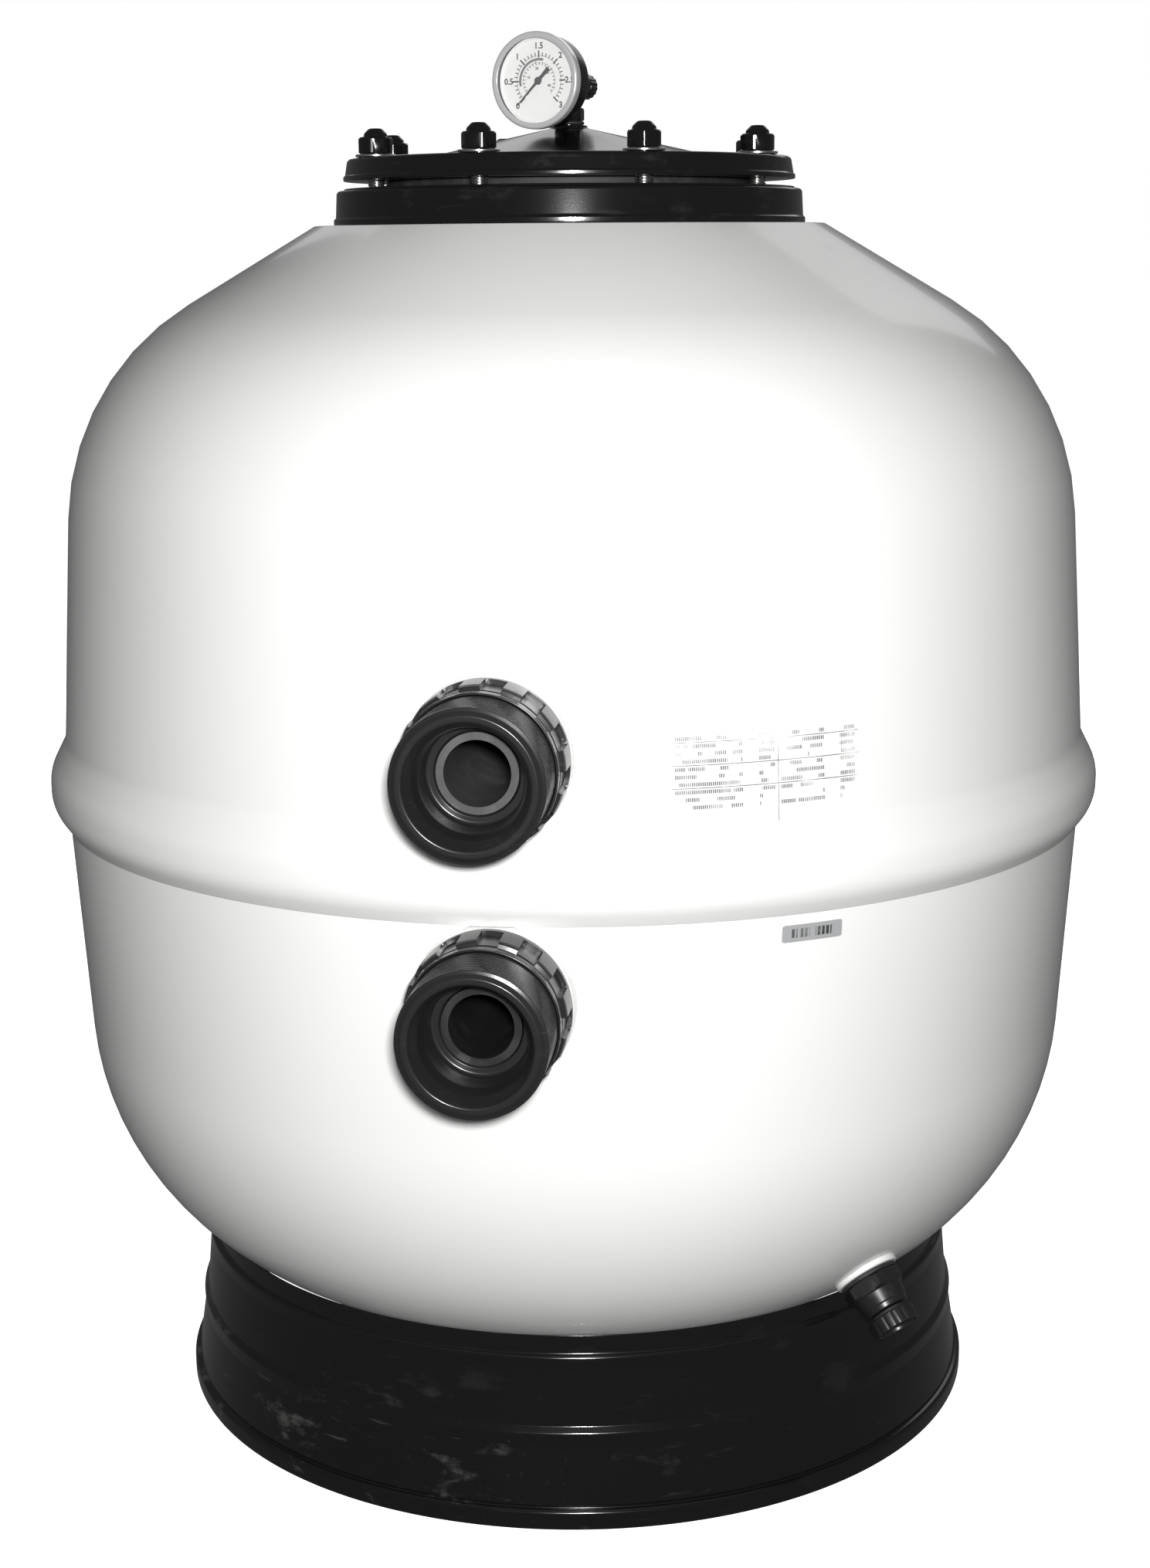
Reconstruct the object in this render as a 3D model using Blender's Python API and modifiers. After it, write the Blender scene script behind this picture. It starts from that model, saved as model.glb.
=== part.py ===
"""Side-mount sand filter tank of the 600 mm class, as separate pieces that fit together.

Units are metres, +Z is up and the tank stands on Z = 0. Both side ports point along -Y. The
tank's own axis is set back from the origin, so that the origin is the middle of the overall
footprint. Every turned shape is a profile of (radius, height) points under a Screw modifier.
"""

import math

import bmesh
import bpy
from mathutils import Matrix, Vector

# ---------------------------------------------------------------- fits and facets
GAP = 0.0003  # between two pieces that touch
FIT = 0.0004  # round a piece that slides into another
STEPS = 32  # facets of the large turned pieces; a multiple of four keeps corners on X and Y
PORT_STEPS = 20
FITTING_STEPS = 16  # tee, purge screw, hub and drain
SMALL_STEPS = 8
FILLET_STEPS = 2
SHARP = math.radians(35)

# ---------------------------------------------------------------- tank
TANK_RADIUS = 0.3025  # outside of the lower wall where it enters the band
TANK_WALL = 0.005
DRAFT = math.radians(3.5)
SEAT_HEIGHT = 0.1100  # floor to the edge that the tank rests on
SEAT_ANGLE = math.radians(52.7)  # slope of the knuckle at that edge
KNUCKLE_RADIUS = 0.170
DISH_ANGLE = math.radians(35)  # slope where the knuckle runs into the dished bottom
LOWER_WALL_HEIGHT = 0.1260
SPIGOT_LENGTH = 0.024
BAND_HEIGHT = 0.0490
BAND_PROUD = 0.0100  # how far the band stands out from the lower wall
BAND_SLOPE = 0.0190  # height over which the band runs back into the wall above it
BAND_LIP = 0.0080
BAND_CHAMFER = 0.0020
BAND_LIP_LAND = 0.0010
UPPER_WALL_HEIGHT = 0.206
SHOULDER_RADIUS = 0.150
SHOULDER_SLOPE = math.radians(59.4)  # from the vertical
NECK_LAND_THICKNESS = 0.008

# ---------------------------------------------------------------- base skirt
SKIRT_WALL = 0.004
SKIRT_COLLAR = 0.0120  # height of the plain collar under the seat
SKIRT_STEP_HEIGHT = 0.0530  # middle of the step half way down
SKIRT_STEP_RISE = 0.0045
SKIRT_STEP = 0.0021
SKIRT_UPPER_FLARE = 0.0028
SKIRT_LOWER_FLARE = 0.0052
FOOT_HEIGHT = 0.0125
FOOT_PROUD = 0.0028
FOOT_LAND = 0.0060

# ---------------------------------------------------------------- neck ring, gasket, lid
RING_BORE = 0.0900
RING_WALL = 0.0050  # round the bore, where the ring enters the mouth
MOUTH_RADIUS = RING_BORE + RING_WALL
BOLT_CIRCLE = MOUTH_RADIUS + 0.0210
RING_RADIUS = BOLT_CIRCLE + 0.0207
RING_HEIGHT = 0.0203
RING_TAPER = 0.0020
RING_SPIGOT = 0.012
NECK_LAND_RADIUS = RING_RADIUS + 0.0111
GASKET_INNER = RING_BORE + 0.0035
GASKET_OUTER = BOLT_CIRCLE - 0.0110
GASKET_THICKNESS = 0.0038
LID_RADIUS = BOLT_CIRCLE + 0.0147
LID_FLANGE = 0.0123
LID_TAPER = 0.0020
LID_SPIGOT = 0.0110
LID_SPIGOT_WALL = 0.0045
LID_WALL = 0.0060
CONE_RADIUS = RING_BORE - 0.0050
CONE_RISE = 0.0170
BOSS_HEIGHT = 0.0015

# ---------------------------------------------------------------- lid bolts
BOLT_COUNT = 8
BOLT_PHASE = math.radians(28)  # first bolt, measured from the ports' side
STUD_RADIUS = 0.0050
STUD_DEPTH = 0.0160
STUD_CLEARANCE = 0.0006
STUD_REACH = 0.0105  # stud above the lid's flange
NUT_DOME_RADIUS = STUD_RADIUS + 0.0022
NUT_CORNERS = 2 * (STUD_RADIUS + 0.0048)
NUT_HEX_HEIGHT = 0.0090
NUT_HEIGHT = 0.0155
WASHER_RADIUS = STUD_RADIUS + 0.0065
WASHER_THICKNESS = 0.0015

# ---------------------------------------------------------------- tee, purge screw
NIPPLE_RADIUS = 0.0066
NIPPLE_LENGTH = 0.0080
BOSS_RADIUS = NIPPLE_RADIUS + 0.0039
COLLAR_CORNERS = 2 * (NIPPLE_RADIUS + 0.0027)
COLLAR_HEIGHT = 0.0069
TEE_WAIST = 0.0062
TEE_WAIST_SHARE = 0.45  # of the height from the collar to the gauge, before the body is full width
TEE_RADIUS = 0.0100
TEE_ARM = 0.0085
TEE_FRONT = 0.0150
TEE_BACK = 0.0130
TEE_DROP = 0.0202  # collar's seat to the height of the gauge
CHANNEL = 0.0025
O_RING = 0.0010  # half the thickness of a small sealing ring
PURGE_RADIUS = 0.00725
PURGE_LENGTH = 0.0096
PURGE_SPIGOT = 0.0035
PURGE_REACH = 0.0085
PURGE_RIBS = 8

# ---------------------------------------------------------------- pressure gauge
GAUGE_TURN = math.radians(-17.3)  # gauge face, from the ports' side towards -X
CASE_RADIUS = 0.0255
CASE_WALL = 0.0012
BEZEL_WALL = 0.0007
BEZEL_RADIUS = CASE_RADIUS + GAP + BEZEL_WALL
BEZEL_LIP = 0.0033
BEZEL_DEPTH = 0.0060
CASE_BACK = 0.0240  # from the tank's axis
CASE_DEPTH = 0.0190
CASE_ROUND = 0.0045
LENS_THICKNESS = 0.0015
DIAL_DEPTH = 0.0037  # case rim back to the dial's face
DIAL_THICKNESS = 0.0008
POINTER_THICKNESS = 0.0008
POINTER_LENGTH = CASE_RADIUS - 0.0065
POINTER_TAIL = POINTER_LENGTH * 0.48
POINTER_REST = math.radians(135)  # from straight up, anticlockwise
STEM_RADIUS = 0.0045
STEM_INSERT = 0.0085
BLOCK_HALF_WIDTH = 0.0052
BLOCK_THICKNESS = 0.0045
TUBE_COIL = CASE_RADIUS - 0.0087
TUBE_RADIUS = 0.0012
COIL_STEPS = 12
TUBE_START = math.radians(-62)
TUBE_SWEEP = math.radians(255)
PINION_RADIUS = 0.0015
SECTOR_RADIUS = 0.0090
SECTOR_THICKNESS = 0.0012
SECTOR_DIRECTION = math.radians(60)  # from the sector's pivot to the pointer's arbor
SECTOR_SWEEP = math.radians(45)
SECTOR_MARGIN = math.radians(8)  # of the rim past each end of its travel
SECTOR_BOSS = 0.0024
SECTOR_SHOULDER = math.radians(40)
ARBOR_RADIUS = 0.0006

# ---------------------------------------------------------------- side ports
PIPE_RADIUS = 0.0200
SOCKET_RADIUS = PIPE_RADIUS + 0.0052
THREAD_RADIUS = SOCKET_RADIUS + 0.0120
LOCK_COLLAR_RADIUS = THREAD_RADIUS + 0.0016
LOCK_RADIUS = THREAD_RADIUS + 0.0038
PAD_RADIUS = LOCK_RADIUS + 0.0005
LOWER_PORT_DROP = LOCK_RADIUS - 0.0008  # lower port's axis under the band's lower edge
PORT_SPACING = 2 * LOCK_RADIUS + 0.0430
PAD_PROUD = 0.0065  # pad's face beyond the lower wall
PORT_LENGTH = 0.0610  # pad's face to the port's end
THREAD_CLEARANCE = 0.0006
THREAD_CHAMFER = 0.0025
SOCKET_DEPTH = 0.0310
SOCKET_LEAD = 0.0030
PORT_FLANGE_RADIUS = THREAD_RADIUS + 0.0033
PORT_FLANGE = 0.0060
PORT_GASKET = 0.0030
LOCK_LENGTH = 0.0210
LOCK_COLLAR = 0.0080
LOCK_LUGS = 12
LOCK_NOTCH = 0.0108
UPPER_LUG_PHASE = math.radians(7)
LOWER_LUG_PHASE = math.radians(12)

# ---------------------------------------------------------------- pipes inside the tank
PIPE_WALL = 0.0037
BEND_RADIUS = 0.050
BEND_STEPS = 5
RISER_OFFSET = 0.120  # riser's axis in front of the tank's axis
RISER_TOP_BELOW_NECK = 0.085
SLEEVE_WALL = 0.0037
SLEEVE_LENGTH = 0.0220
BELL_RADIUS = 0.050
BELL_HEIGHT = 0.022
BELL_WALL = 0.0030
HUB_RADIUS = PIPE_RADIUS + 0.0140
HUB_HEIGHT = 0.0460
HUB_ABOVE_BOTTOM = 0.0900  # hub's underside over the dish's inner face
HUB_SOCKET = 0.0120
LATERAL_COUNT = 8
LATERAL_HEIGHT = 0.0170  # lateral's axis over the hub's underside
LATERAL_RADIUS = 0.0125
LATERAL_REACH = 0.645 * TANK_RADIUS
LATERAL_BORE = 0.0050
LATERAL_SPIGOT_RADIUS = 0.0074
LATERAL_SPIGOT = 0.0080
LATERAL_TIP = 0.0050

# ---------------------------------------------------------------- drain
DRAIN_TURN = math.radians(49)  # from the ports' side towards +X
DRAIN_TILT = math.radians(45)  # below the horizontal
DRAIN_BORE = 0.0070
DRAIN_TUBE_RADIUS = DRAIN_BORE + 0.0055
DRAIN_PAD_RADIUS = DRAIN_TUBE_RADIUS + 0.0065
DRAIN_PAD_PROUD = 0.0020
DRAIN_PAD_INSET = 0.0100
DRAIN_GASKET_RADIUS = DRAIN_TUBE_RADIUS + 0.0045
DRAIN_GASKET = 0.0020
DRAIN_HEX_CORNERS = 2 * (DRAIN_TUBE_RADIUS + 0.0055)
DRAIN_HEX = 0.0080
DRAIN_TAPER_LENGTH = 0.0110
DRAIN_TAPER_START = DRAIN_TUBE_RADIUS + 0.0025
DRAIN_TAPER_END = DRAIN_TUBE_RADIUS + 0.0003
STRAINER_WALL = 0.0030
STRAINER_LENGTH = 0.0330
STRAINER_SOCKET = 0.0120
STRAINER_SLOTS = 6
STRAINER_SLOT = 0.0020
PLUG_RADIUS = DRAIN_TUBE_RADIUS + 0.0010
PLUG_LENGTH = 0.0088
PLUG_POCKET = 0.0060
PLUG_WEB = 0.0028
PLUG_WALL = 0.0022
PLUG_SPIGOT = 0.0100
PLUG_SPIGOT_RADIUS = DRAIN_BORE - FIT

# ---------------------------------------------------------------- labels
LABEL_THICKNESS = 0.0005
DATA_LABEL = (0.100, 0.045, 0.0720, math.radians(26.4))  # width, height, middle over band edge, turn
SERIAL_LABEL = (0.034, 0.009, -0.0100, math.radians(31))
LABEL_STEPS = 8

# ---------------------------------------------------------------- worked-out places
KNUCKLE_TOP = SEAT_HEIGHT + KNUCKLE_RADIUS * (math.sin(SEAT_ANGLE) - math.sin(DRAFT))
BAND_BOTTOM = KNUCKLE_TOP + LOWER_WALL_HEIGHT
BAND_TOP = BAND_BOTTOM + BAND_HEIGHT
SPIGOT_TOP = BAND_BOTTOM + SPIGOT_LENGTH
BAND_RADIUS = TANK_RADIUS + BAND_PROUD
KNUCKLE_WALL_RADIUS = TANK_RADIUS - LOWER_WALL_HEIGHT * math.tan(DRAFT)
KNUCKLE_CENTRE = (
    KNUCKLE_WALL_RADIUS - KNUCKLE_RADIUS * math.cos(DRAFT),
    KNUCKLE_TOP + KNUCKLE_RADIUS * math.sin(DRAFT),
)
DISH_EDGE = (
    KNUCKLE_CENTRE[0] + KNUCKLE_RADIUS * math.sin(DISH_ANGLE),
    KNUCKLE_CENTRE[1] - KNUCKLE_RADIUS * math.cos(DISH_ANGLE),
)
DISH_RADIUS = DISH_EDGE[0] / math.sin(DISH_ANGLE)
DISH_CENTRE = DISH_EDGE[1] + DISH_RADIUS * math.cos(DISH_ANGLE)
SEAT_RADIUS = KNUCKLE_CENTRE[0] + KNUCKLE_RADIUS * math.cos(SEAT_ANGLE)
SHOULDER_TOP = BAND_TOP + UPPER_WALL_HEIGHT
SHOULDER_CORNER = TANK_RADIUS - UPPER_WALL_HEIGHT * math.tan(DRAFT)
NECK_Z = SHOULDER_TOP + (SHOULDER_CORNER - NECK_LAND_RADIUS) / math.tan(SHOULDER_SLOPE)
RING_TOP = NECK_Z + GAP + RING_HEIGHT
LID_Z = RING_TOP + 2 * GAP + GASKET_THICKNESS
LID_TOP = LID_Z + LID_FLANGE
BOSS_TOP = LID_TOP + CONE_RISE + BOSS_HEIGHT
COLLAR_Z = BOSS_TOP + 2 * GAP + 2 * O_RING
GAUGE_Z = COLLAR_Z + TEE_DROP
PAD_FACE = TANK_RADIUS + PAD_PROUD
PORT_FACE = PAD_FACE + PORT_LENGTH
LOWER_PORT_Z = BAND_BOTTOM - LOWER_PORT_DROP
UPPER_PORT_Z = LOWER_PORT_Z + PORT_SPACING
TANK_Y = (PORT_FACE - BAND_RADIUS) / 2

# ---------------------------------------------------------------- scene, collections, materials
for old in list(bpy.data.objects):
    bpy.data.objects.remove(old, do_unlink=True)

PARTS = bpy.data.collections.new("sand_filter_tank")
CUTTERS = bpy.data.collections.new("cutters")
for group in (PARTS, CUTTERS):
    bpy.context.scene.collection.children.link(group)


def material(name, colour, roughness, metallic=0.0):
    """A Principled material of one finish."""
    made = bpy.data.materials.new(name)
    made.use_nodes = True
    shader = made.node_tree.nodes["Principled BSDF"]
    shader.inputs["Base Color"].default_value = (*colour, 1.0)
    shader.inputs["Roughness"].default_value = roughness
    shader.inputs["Metallic"].default_value = metallic
    made.diffuse_color = (*colour, 1.0)
    return made


WHITE_SHELL = material("white_shell", (0.84, 0.84, 0.82), 0.22)
BLACK_PLASTIC = material("black_plastic", (0.018, 0.018, 0.020), 0.28)
GREY_PIPE = material("grey_pipe", (0.36, 0.37, 0.38), 0.42)
BLACK_RUBBER = material("black_rubber", (0.025, 0.025, 0.025), 0.75)
STAINLESS = material("stainless", (0.62, 0.62, 0.60), 0.25, 1.0)
CHROME = material("chrome", (0.75, 0.75, 0.76), 0.08, 1.0)
BRASS = material("brass", (0.62, 0.45, 0.18), 0.30, 1.0)
DIAL_WHITE = material("dial_white", (0.88, 0.88, 0.86), 0.45)
CLEAR_LENS = material("clear_lens", (0.90, 0.92, 0.93), 0.05)
LABEL_FILM = material("label_film", (0.70, 0.71, 0.71), 0.40)


# ---------------------------------------------------------------- profiles
def arc(centre, radius, start, end, count):
    """Points on an arc, from one angle to another, both included."""
    angles = [start + (end - start) * step / count for step in range(count + 1)]
    return [(centre[0] + radius * math.cos(a), centre[1] + radius * math.sin(a)) for a in angles]


def rounded(corners):
    """A line through corners (r, z, fillet), with each fillet an arc tangent to both sides."""
    points = []
    for index, (r, z, fillet) in enumerate(corners):
        if not fillet:
            points.append((r, z))
            continue
        here = Vector((r, z))
        before = Vector(corners[index - 1][:2]) - here
        after = Vector(corners[index + 1][:2]) - here
        half = before.angle(after) / 2
        reach = min(fillet / math.tan(half), 0.49 * before.length, 0.49 * after.length)
        radius = reach * math.tan(half)
        middle = (before.normalized() + after.normalized()).normalized()
        centre = here + middle * radius / math.sin(half)
        first = here + before.normalized() * reach - centre
        last = here + after.normalized() * reach - centre
        start = math.atan2(first.y, first.x)
        sweep = math.atan2(last.y, last.x) - start
        sweep = (sweep + math.pi) % (2 * math.pi) - math.pi
        points += arc(centre, radius, start, start + sweep, FILLET_STEPS)
    return points


def inset(points, distance):
    """A line moved to its inner side, for a line that runs down a piece's outside."""
    moved = []
    for index, point in enumerate(points):
        here = Vector(point)
        normals = []
        for other, sign in ((index - 1, -1), (index + 1, 1)):
            if 0 <= other < len(points):
                along = (Vector(points[other]) - here).normalized() * sign
                normals.append(Vector((along.y, -along.x)))
        mean = sum(normals, Vector((0, 0))).normalized()
        moved.append(here + mean * distance / mean.dot(normals[0]))
    return [(max(point.x, 0.0), point.y) for point in moved]


def lower_wall_radius(z):
    """Outside radius of the lower shell's straight wall."""
    return TANK_RADIUS - (BAND_BOTTOM - z) * math.tan(DRAFT)


def upper_wall_radius(z):
    """Outside radius of the upper shell's straight wall."""
    return TANK_RADIUS - (z - BAND_TOP) * math.tan(DRAFT)


# ---------------------------------------------------------------- objects
def frame(name, parent=None, place=Matrix()):
    """An empty that carries pieces."""
    made = bpy.data.objects.new(name, None)
    PARTS.objects.link(made)
    made.parent = parent
    made.matrix_local = place
    return made


def piece(name, mesh, finish, parent, place=Matrix(), collection=PARTS):
    """A mesh as a named object under a frame."""
    made = bpy.data.objects.new(name, mesh)
    collection.objects.link(made)
    made.parent = parent
    made.matrix_local = place
    if finish is not None:
        mesh.materials.append(finish)
    if collection is CUTTERS:
        made.hide_render = True
        made.display_type = "WIRE"
    return made


def turned(name, profile, finish, parent, place=Matrix(), steps=STEPS, collection=PARTS):
    """A profile turned about local Z: closed as a ring, unless both of its ends are on the axis."""
    last = len(profile) - 1
    edges = [(index, index + 1) for index in range(last)]
    if profile[0][0] or profile[last][0]:
        edges.append((last, 0))
    mesh = bpy.data.meshes.new(name)
    mesh.from_pydata([(r, 0.0, z) for r, z in profile], edges, [])
    made = piece(name, mesh, finish, parent, place, collection)
    screw = made.modifiers.new("turn", "SCREW")
    screw.steps = screw.render_steps = steps
    screw.use_merge_vertices = True
    screw.merge_threshold = 0.00001
    return made


def cylinder(name, radius, low, high, finish, parent, place=Matrix(), steps=SMALL_STEPS,
             collection=PARTS):
    """A plain cylinder between two heights of its frame."""
    mesh = bpy.data.meshes.new(name)
    built = bmesh.new()
    bmesh.ops.create_cone(built, cap_ends=True, segments=steps, radius1=radius, radius2=radius,
                          depth=high - low, matrix=Matrix.Translation((0, 0, (high + low) / 2)))
    built.to_mesh(mesh)
    built.free()
    return piece(name, mesh, finish, parent, place, collection)


def flats_at(radius, steps):
    """Corner radius of a faceted hole whose flats are at the radius."""
    return radius / math.cos(math.pi / steps)


def bore(name, radius, low, high, parent, place=Matrix(), steps=SMALL_STEPS):
    """A cutter for a round hole whose flats, and not its corners, are at the radius."""
    return cylinder(name, flats_at(radius, steps), low, high, None, parent, place, steps, CUTTERS)


def boxes(name, sizes, finish, parent, place=Matrix(), collection=PARTS):
    """One mesh of boxes, each a (size, matrix) pair."""
    mesh = bpy.data.meshes.new(name)
    built = bmesh.new()
    for size, where in sizes:
        bmesh.ops.create_cube(built, size=1.0, matrix=where @ Matrix.Diagonal((*size, 1)))
    built.to_mesh(mesh)
    built.free()
    return piece(name, mesh, finish, parent, place, collection)


def flat(name, outlines, low, high, finish, parent, place=Matrix()):
    """Flat stock between two heights, cut to closed outlines: the first, less those inside it."""
    curve = bpy.data.curves.new(name, "CURVE")
    curve.dimensions = "2D"
    curve.fill_mode = "BOTH"
    curve.extrude = (high - low) / 2
    for outline in outlines:
        spline = curve.splines.new("POLY")
        spline.points.add(len(outline) - 1)
        spline.use_cyclic_u = True
        for point, (x, y) in zip(spline.points, outline):
            point.co = (x, y, 0, 1)
    return from_curve(name, curve, finish, parent, place @ Matrix.Translation((0, 0, (low + high) / 2)))


def from_curve(name, curve, finish, parent, place, collection=PARTS):
    """A curve's solid as a welded mesh, so that it can be cut or joined."""
    drawn = bpy.data.objects.new(name + "_line", curve)
    bpy.context.scene.collection.objects.link(drawn)
    graph = bpy.context.evaluated_depsgraph_get()
    mesh = bpy.data.meshes.new_from_object(drawn.evaluated_get(graph))
    mesh.name = name
    mesh.materials.clear()
    bpy.data.objects.remove(drawn, do_unlink=True)
    built = bmesh.new()
    built.from_mesh(mesh)
    bmesh.ops.remove_doubles(built, verts=built.verts, dist=0.000001)
    bmesh.ops.recalc_face_normals(built, faces=built.faces)
    built.to_mesh(mesh)
    built.free()
    return piece(name, mesh, finish, parent, place, collection)


def rod(name, points, radius, finish, parent, sides, collection=PARTS):
    """A round bar along a line of points; sides is 8, 10 or 12."""
    curve = bpy.data.curves.new(name, "CURVE")
    curve.dimensions = "3D"
    curve.bevel_depth = radius
    curve.bevel_resolution = (sides - 4) // 2
    curve.use_fill_caps = True
    spline = curve.splines.new("POLY")
    spline.points.add(len(points) - 1)
    for point, place in zip(spline.points, points):
        point.co = (*place, 1)
    return from_curve(name, curve, finish, parent, Matrix(), collection)


def combine(body, other, operation="DIFFERENCE"):
    """A Boolean of one object with another, which becomes a helper."""
    change = body.modifiers.new(other.name, "BOOLEAN")
    change.operation = operation
    change.object = other
    return body


def join(body, other):
    """Unite a helper with a body."""
    return combine(body, other, "UNION")


def freeze(body):
    """Replace a body's mesh by what its modifiers make, shaded smooth between its hard edges."""
    bpy.context.view_layer.update()
    graph = bpy.context.evaluated_depsgraph_get()
    mesh = bpy.data.meshes.new_from_object(body.evaluated_get(graph))
    mesh.name = body.name
    body.modifiers.clear()
    body.data = mesh
    mesh.shade_smooth()
    mesh.set_sharp_from_angle(angle=SHARP)
    return body


def copies(body, names, places):
    """Further objects that share a finished body's mesh."""
    for name, place in zip(names, places):
        again = bpy.data.objects.new(name, body.data)
        PARTS.objects.link(again)
        again.parent = body.parent
        again.matrix_local = place


def facing(turn, tilt=0.0):
    """Rotation that takes local +Z outwards at a turn from the ports' side, tilted downwards."""
    return Matrix.Rotation(turn, 4, "Z") @ Matrix.Rotation(math.radians(90) + tilt, 4, "X")


def around(count, phase=0.0):
    """Angles of a pattern of equal steps."""
    return [phase + 2 * math.pi * index / count for index in range(count)]


def o_ring(name, middle, height, parent):
    """A sealing ring of round section; its middle radius and its middle height."""
    section = arc((middle, height), O_RING, math.pi / 2, -1.5 * math.pi, 6)[:-1]
    return turned(name, section, BLACK_RUBBER, parent, steps=FITTING_STEPS)


# ---------------------------------------------------------------- frames
TANK = frame("tank_axis", None, Matrix.Translation((0, TANK_Y, 0)))
UPPER_PORT = frame("upper_port_axis", TANK, Matrix.Translation((0, 0, UPPER_PORT_Z)) @ facing(0))
LOWER_PORT = frame("lower_port_axis", TANK, Matrix.Translation((0, 0, LOWER_PORT_Z)) @ facing(0))
GAUGE = frame("gauge_axis", TANK, Matrix.Translation((0, 0, GAUGE_Z)) @ facing(GAUGE_TURN))
DRAIN_RADIUS = KNUCKLE_CENTRE[0] + KNUCKLE_RADIUS * math.cos(DRAIN_TILT)
DRAIN_HEIGHT = KNUCKLE_CENTRE[1] - KNUCKLE_RADIUS * math.sin(DRAIN_TILT)
DRAIN = frame(
    "drain_axis",
    TANK,
    Matrix.Rotation(DRAIN_TURN, 4, "Z")
    @ Matrix.Translation((0, -DRAIN_RADIUS, DRAIN_HEIGHT))
    @ facing(0, DRAIN_TILT),
)


# ---------------------------------------------------------------- base and shells
def knuckle_underside(r):
    """Height of the knuckle over a radius, less the gap that the skirt keeps from it."""
    return KNUCKLE_CENTRE[1] - math.sqrt((KNUCKLE_RADIUS + 2 * GAP) ** 2 - (r - KNUCKLE_CENTRE[0]) ** 2)


def make_base():
    """Open skirt whose top edge is bevelled to the tank's knuckle, less a gap."""
    step_top = SKIRT_STEP_HEIGHT + SKIRT_STEP_RISE / 2
    step_bottom = SKIRT_STEP_HEIGHT - SKIRT_STEP_RISE / 2
    collar_bottom = SEAT_HEIGHT - SKIRT_COLLAR
    shelf = SEAT_RADIUS + SKIRT_STEP
    waist = shelf + SKIRT_UPPER_FLARE
    hem = waist + SKIRT_STEP + SKIRT_LOWER_FLARE
    foot = hem + FOOT_PROUD
    inner_seat = SEAT_RADIUS - SKIRT_WALL
    outside = [
        (SEAT_RADIUS, knuckle_underside(SEAT_RADIUS)),
        (SEAT_RADIUS, collar_bottom),
        (shelf, collar_bottom - SKIRT_STEP),
        (waist, step_top),
        (waist + SKIRT_STEP, step_bottom),
        (hem, FOOT_HEIGHT),
        (foot, FOOT_HEIGHT - FOOT_PROUD / 2),
        (foot, FOOT_PROUD / 2),
        (foot - FOOT_PROUD / 2, 0),
    ]
    inside = [
        (foot - FOOT_PROUD / 2 - FOOT_LAND, 0),
        (hem - SKIRT_WALL, FOOT_HEIGHT),
        (waist + SKIRT_STEP - SKIRT_WALL, step_bottom),
        (waist - SKIRT_WALL, step_top),
        (shelf - SKIRT_WALL, collar_bottom - SKIRT_STEP),
        (inner_seat, collar_bottom),
        (inner_seat, knuckle_underside(inner_seat)),
    ]
    return turned("base_skirt", outside + inside, BLACK_PLASTIC, TANK)


def port_pad_inner(wall, z):
    """Distance from the tank's axis of a flat inside the wall, as wide as the pad."""
    narrowest = min(wall(z - PAD_RADIUS), wall(z + PAD_RADIUS)) - TANK_WALL
    return math.sqrt(narrowest**2 - PAD_RADIUS**2) * math.cos(math.pi / STEPS) - 2 * GAP


def port_pad(name, frame_of_port, inner):
    """A flat boss for a port, from inside the wall to its outer face."""
    return cylinder(name, PAD_RADIUS, inner, PAD_FACE, None, frame_of_port,
                    steps=PORT_STEPS, collection=CUTTERS)


def port_hole(name, frame_of_port):
    """A cutter through the wall for a port's threaded tube."""
    return bore(name, THREAD_RADIUS + THREAD_CLEARANCE, PAD_FACE - TANK_RADIUS / 3,
                PAD_FACE + PORT_LENGTH, frame_of_port, steps=PORT_STEPS)


def make_lower_shell():
    """Bottom half: dished end, knuckle, drafted wall and the spigot that enters the band."""
    knuckle = arc(KNUCKLE_CENTRE, KNUCKLE_RADIUS, -DRAFT, DISH_ANGLE - math.pi / 2, 3)
    dish = arc((0, DISH_CENTRE), DISH_RADIUS, DISH_ANGLE - math.pi / 2, -math.pi / 2, 3)
    outside = [(TANK_RADIUS, BAND_BOTTOM)] + knuckle + dish[1:-1] + [(0, DISH_CENTRE - DISH_RADIUS)]
    inside = inset(outside, TANK_WALL)
    inside[-1] = (0, outside[-1][1] + TANK_WALL)
    spigot = [(TANK_RADIUS - TANK_WALL, SPIGOT_TOP), (TANK_RADIUS, SPIGOT_TOP)]
    shell = turned("tank_lower_shell", inside[::-1] + spigot + outside, WHITE_SHELL, TANK)

    inner = port_pad_inner(lower_wall_radius, LOWER_PORT_Z)
    pad = port_pad("lower_port_pad", LOWER_PORT, inner)
    over = boxes("lower_port_pad_trim", [((3 * PAD_RADIUS, PAD_FACE, PAD_RADIUS), Matrix.Translation(
        (0, -PAD_FACE, BAND_BOTTOM - GAP + PAD_RADIUS / 2)))], None, TANK, collection=CUTTERS)
    join(shell, combine(pad, over))
    combine(shell, port_hole("lower_port_hole", LOWER_PORT))

    drain_pad = cylinder("drain_pad", DRAIN_PAD_RADIUS, -DRAIN_PAD_INSET, DRAIN_PAD_PROUD, None, DRAIN,
                         steps=PORT_STEPS, collection=CUTTERS)
    join(shell, drain_pad)
    combine(shell, bore("drain_hole", DRAIN_TUBE_RADIUS + FIT, -DRAIN_PAD_RADIUS, DRAIN_PAD_RADIUS,
                        DRAIN, steps=FITTING_STEPS))
    return shell


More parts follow.
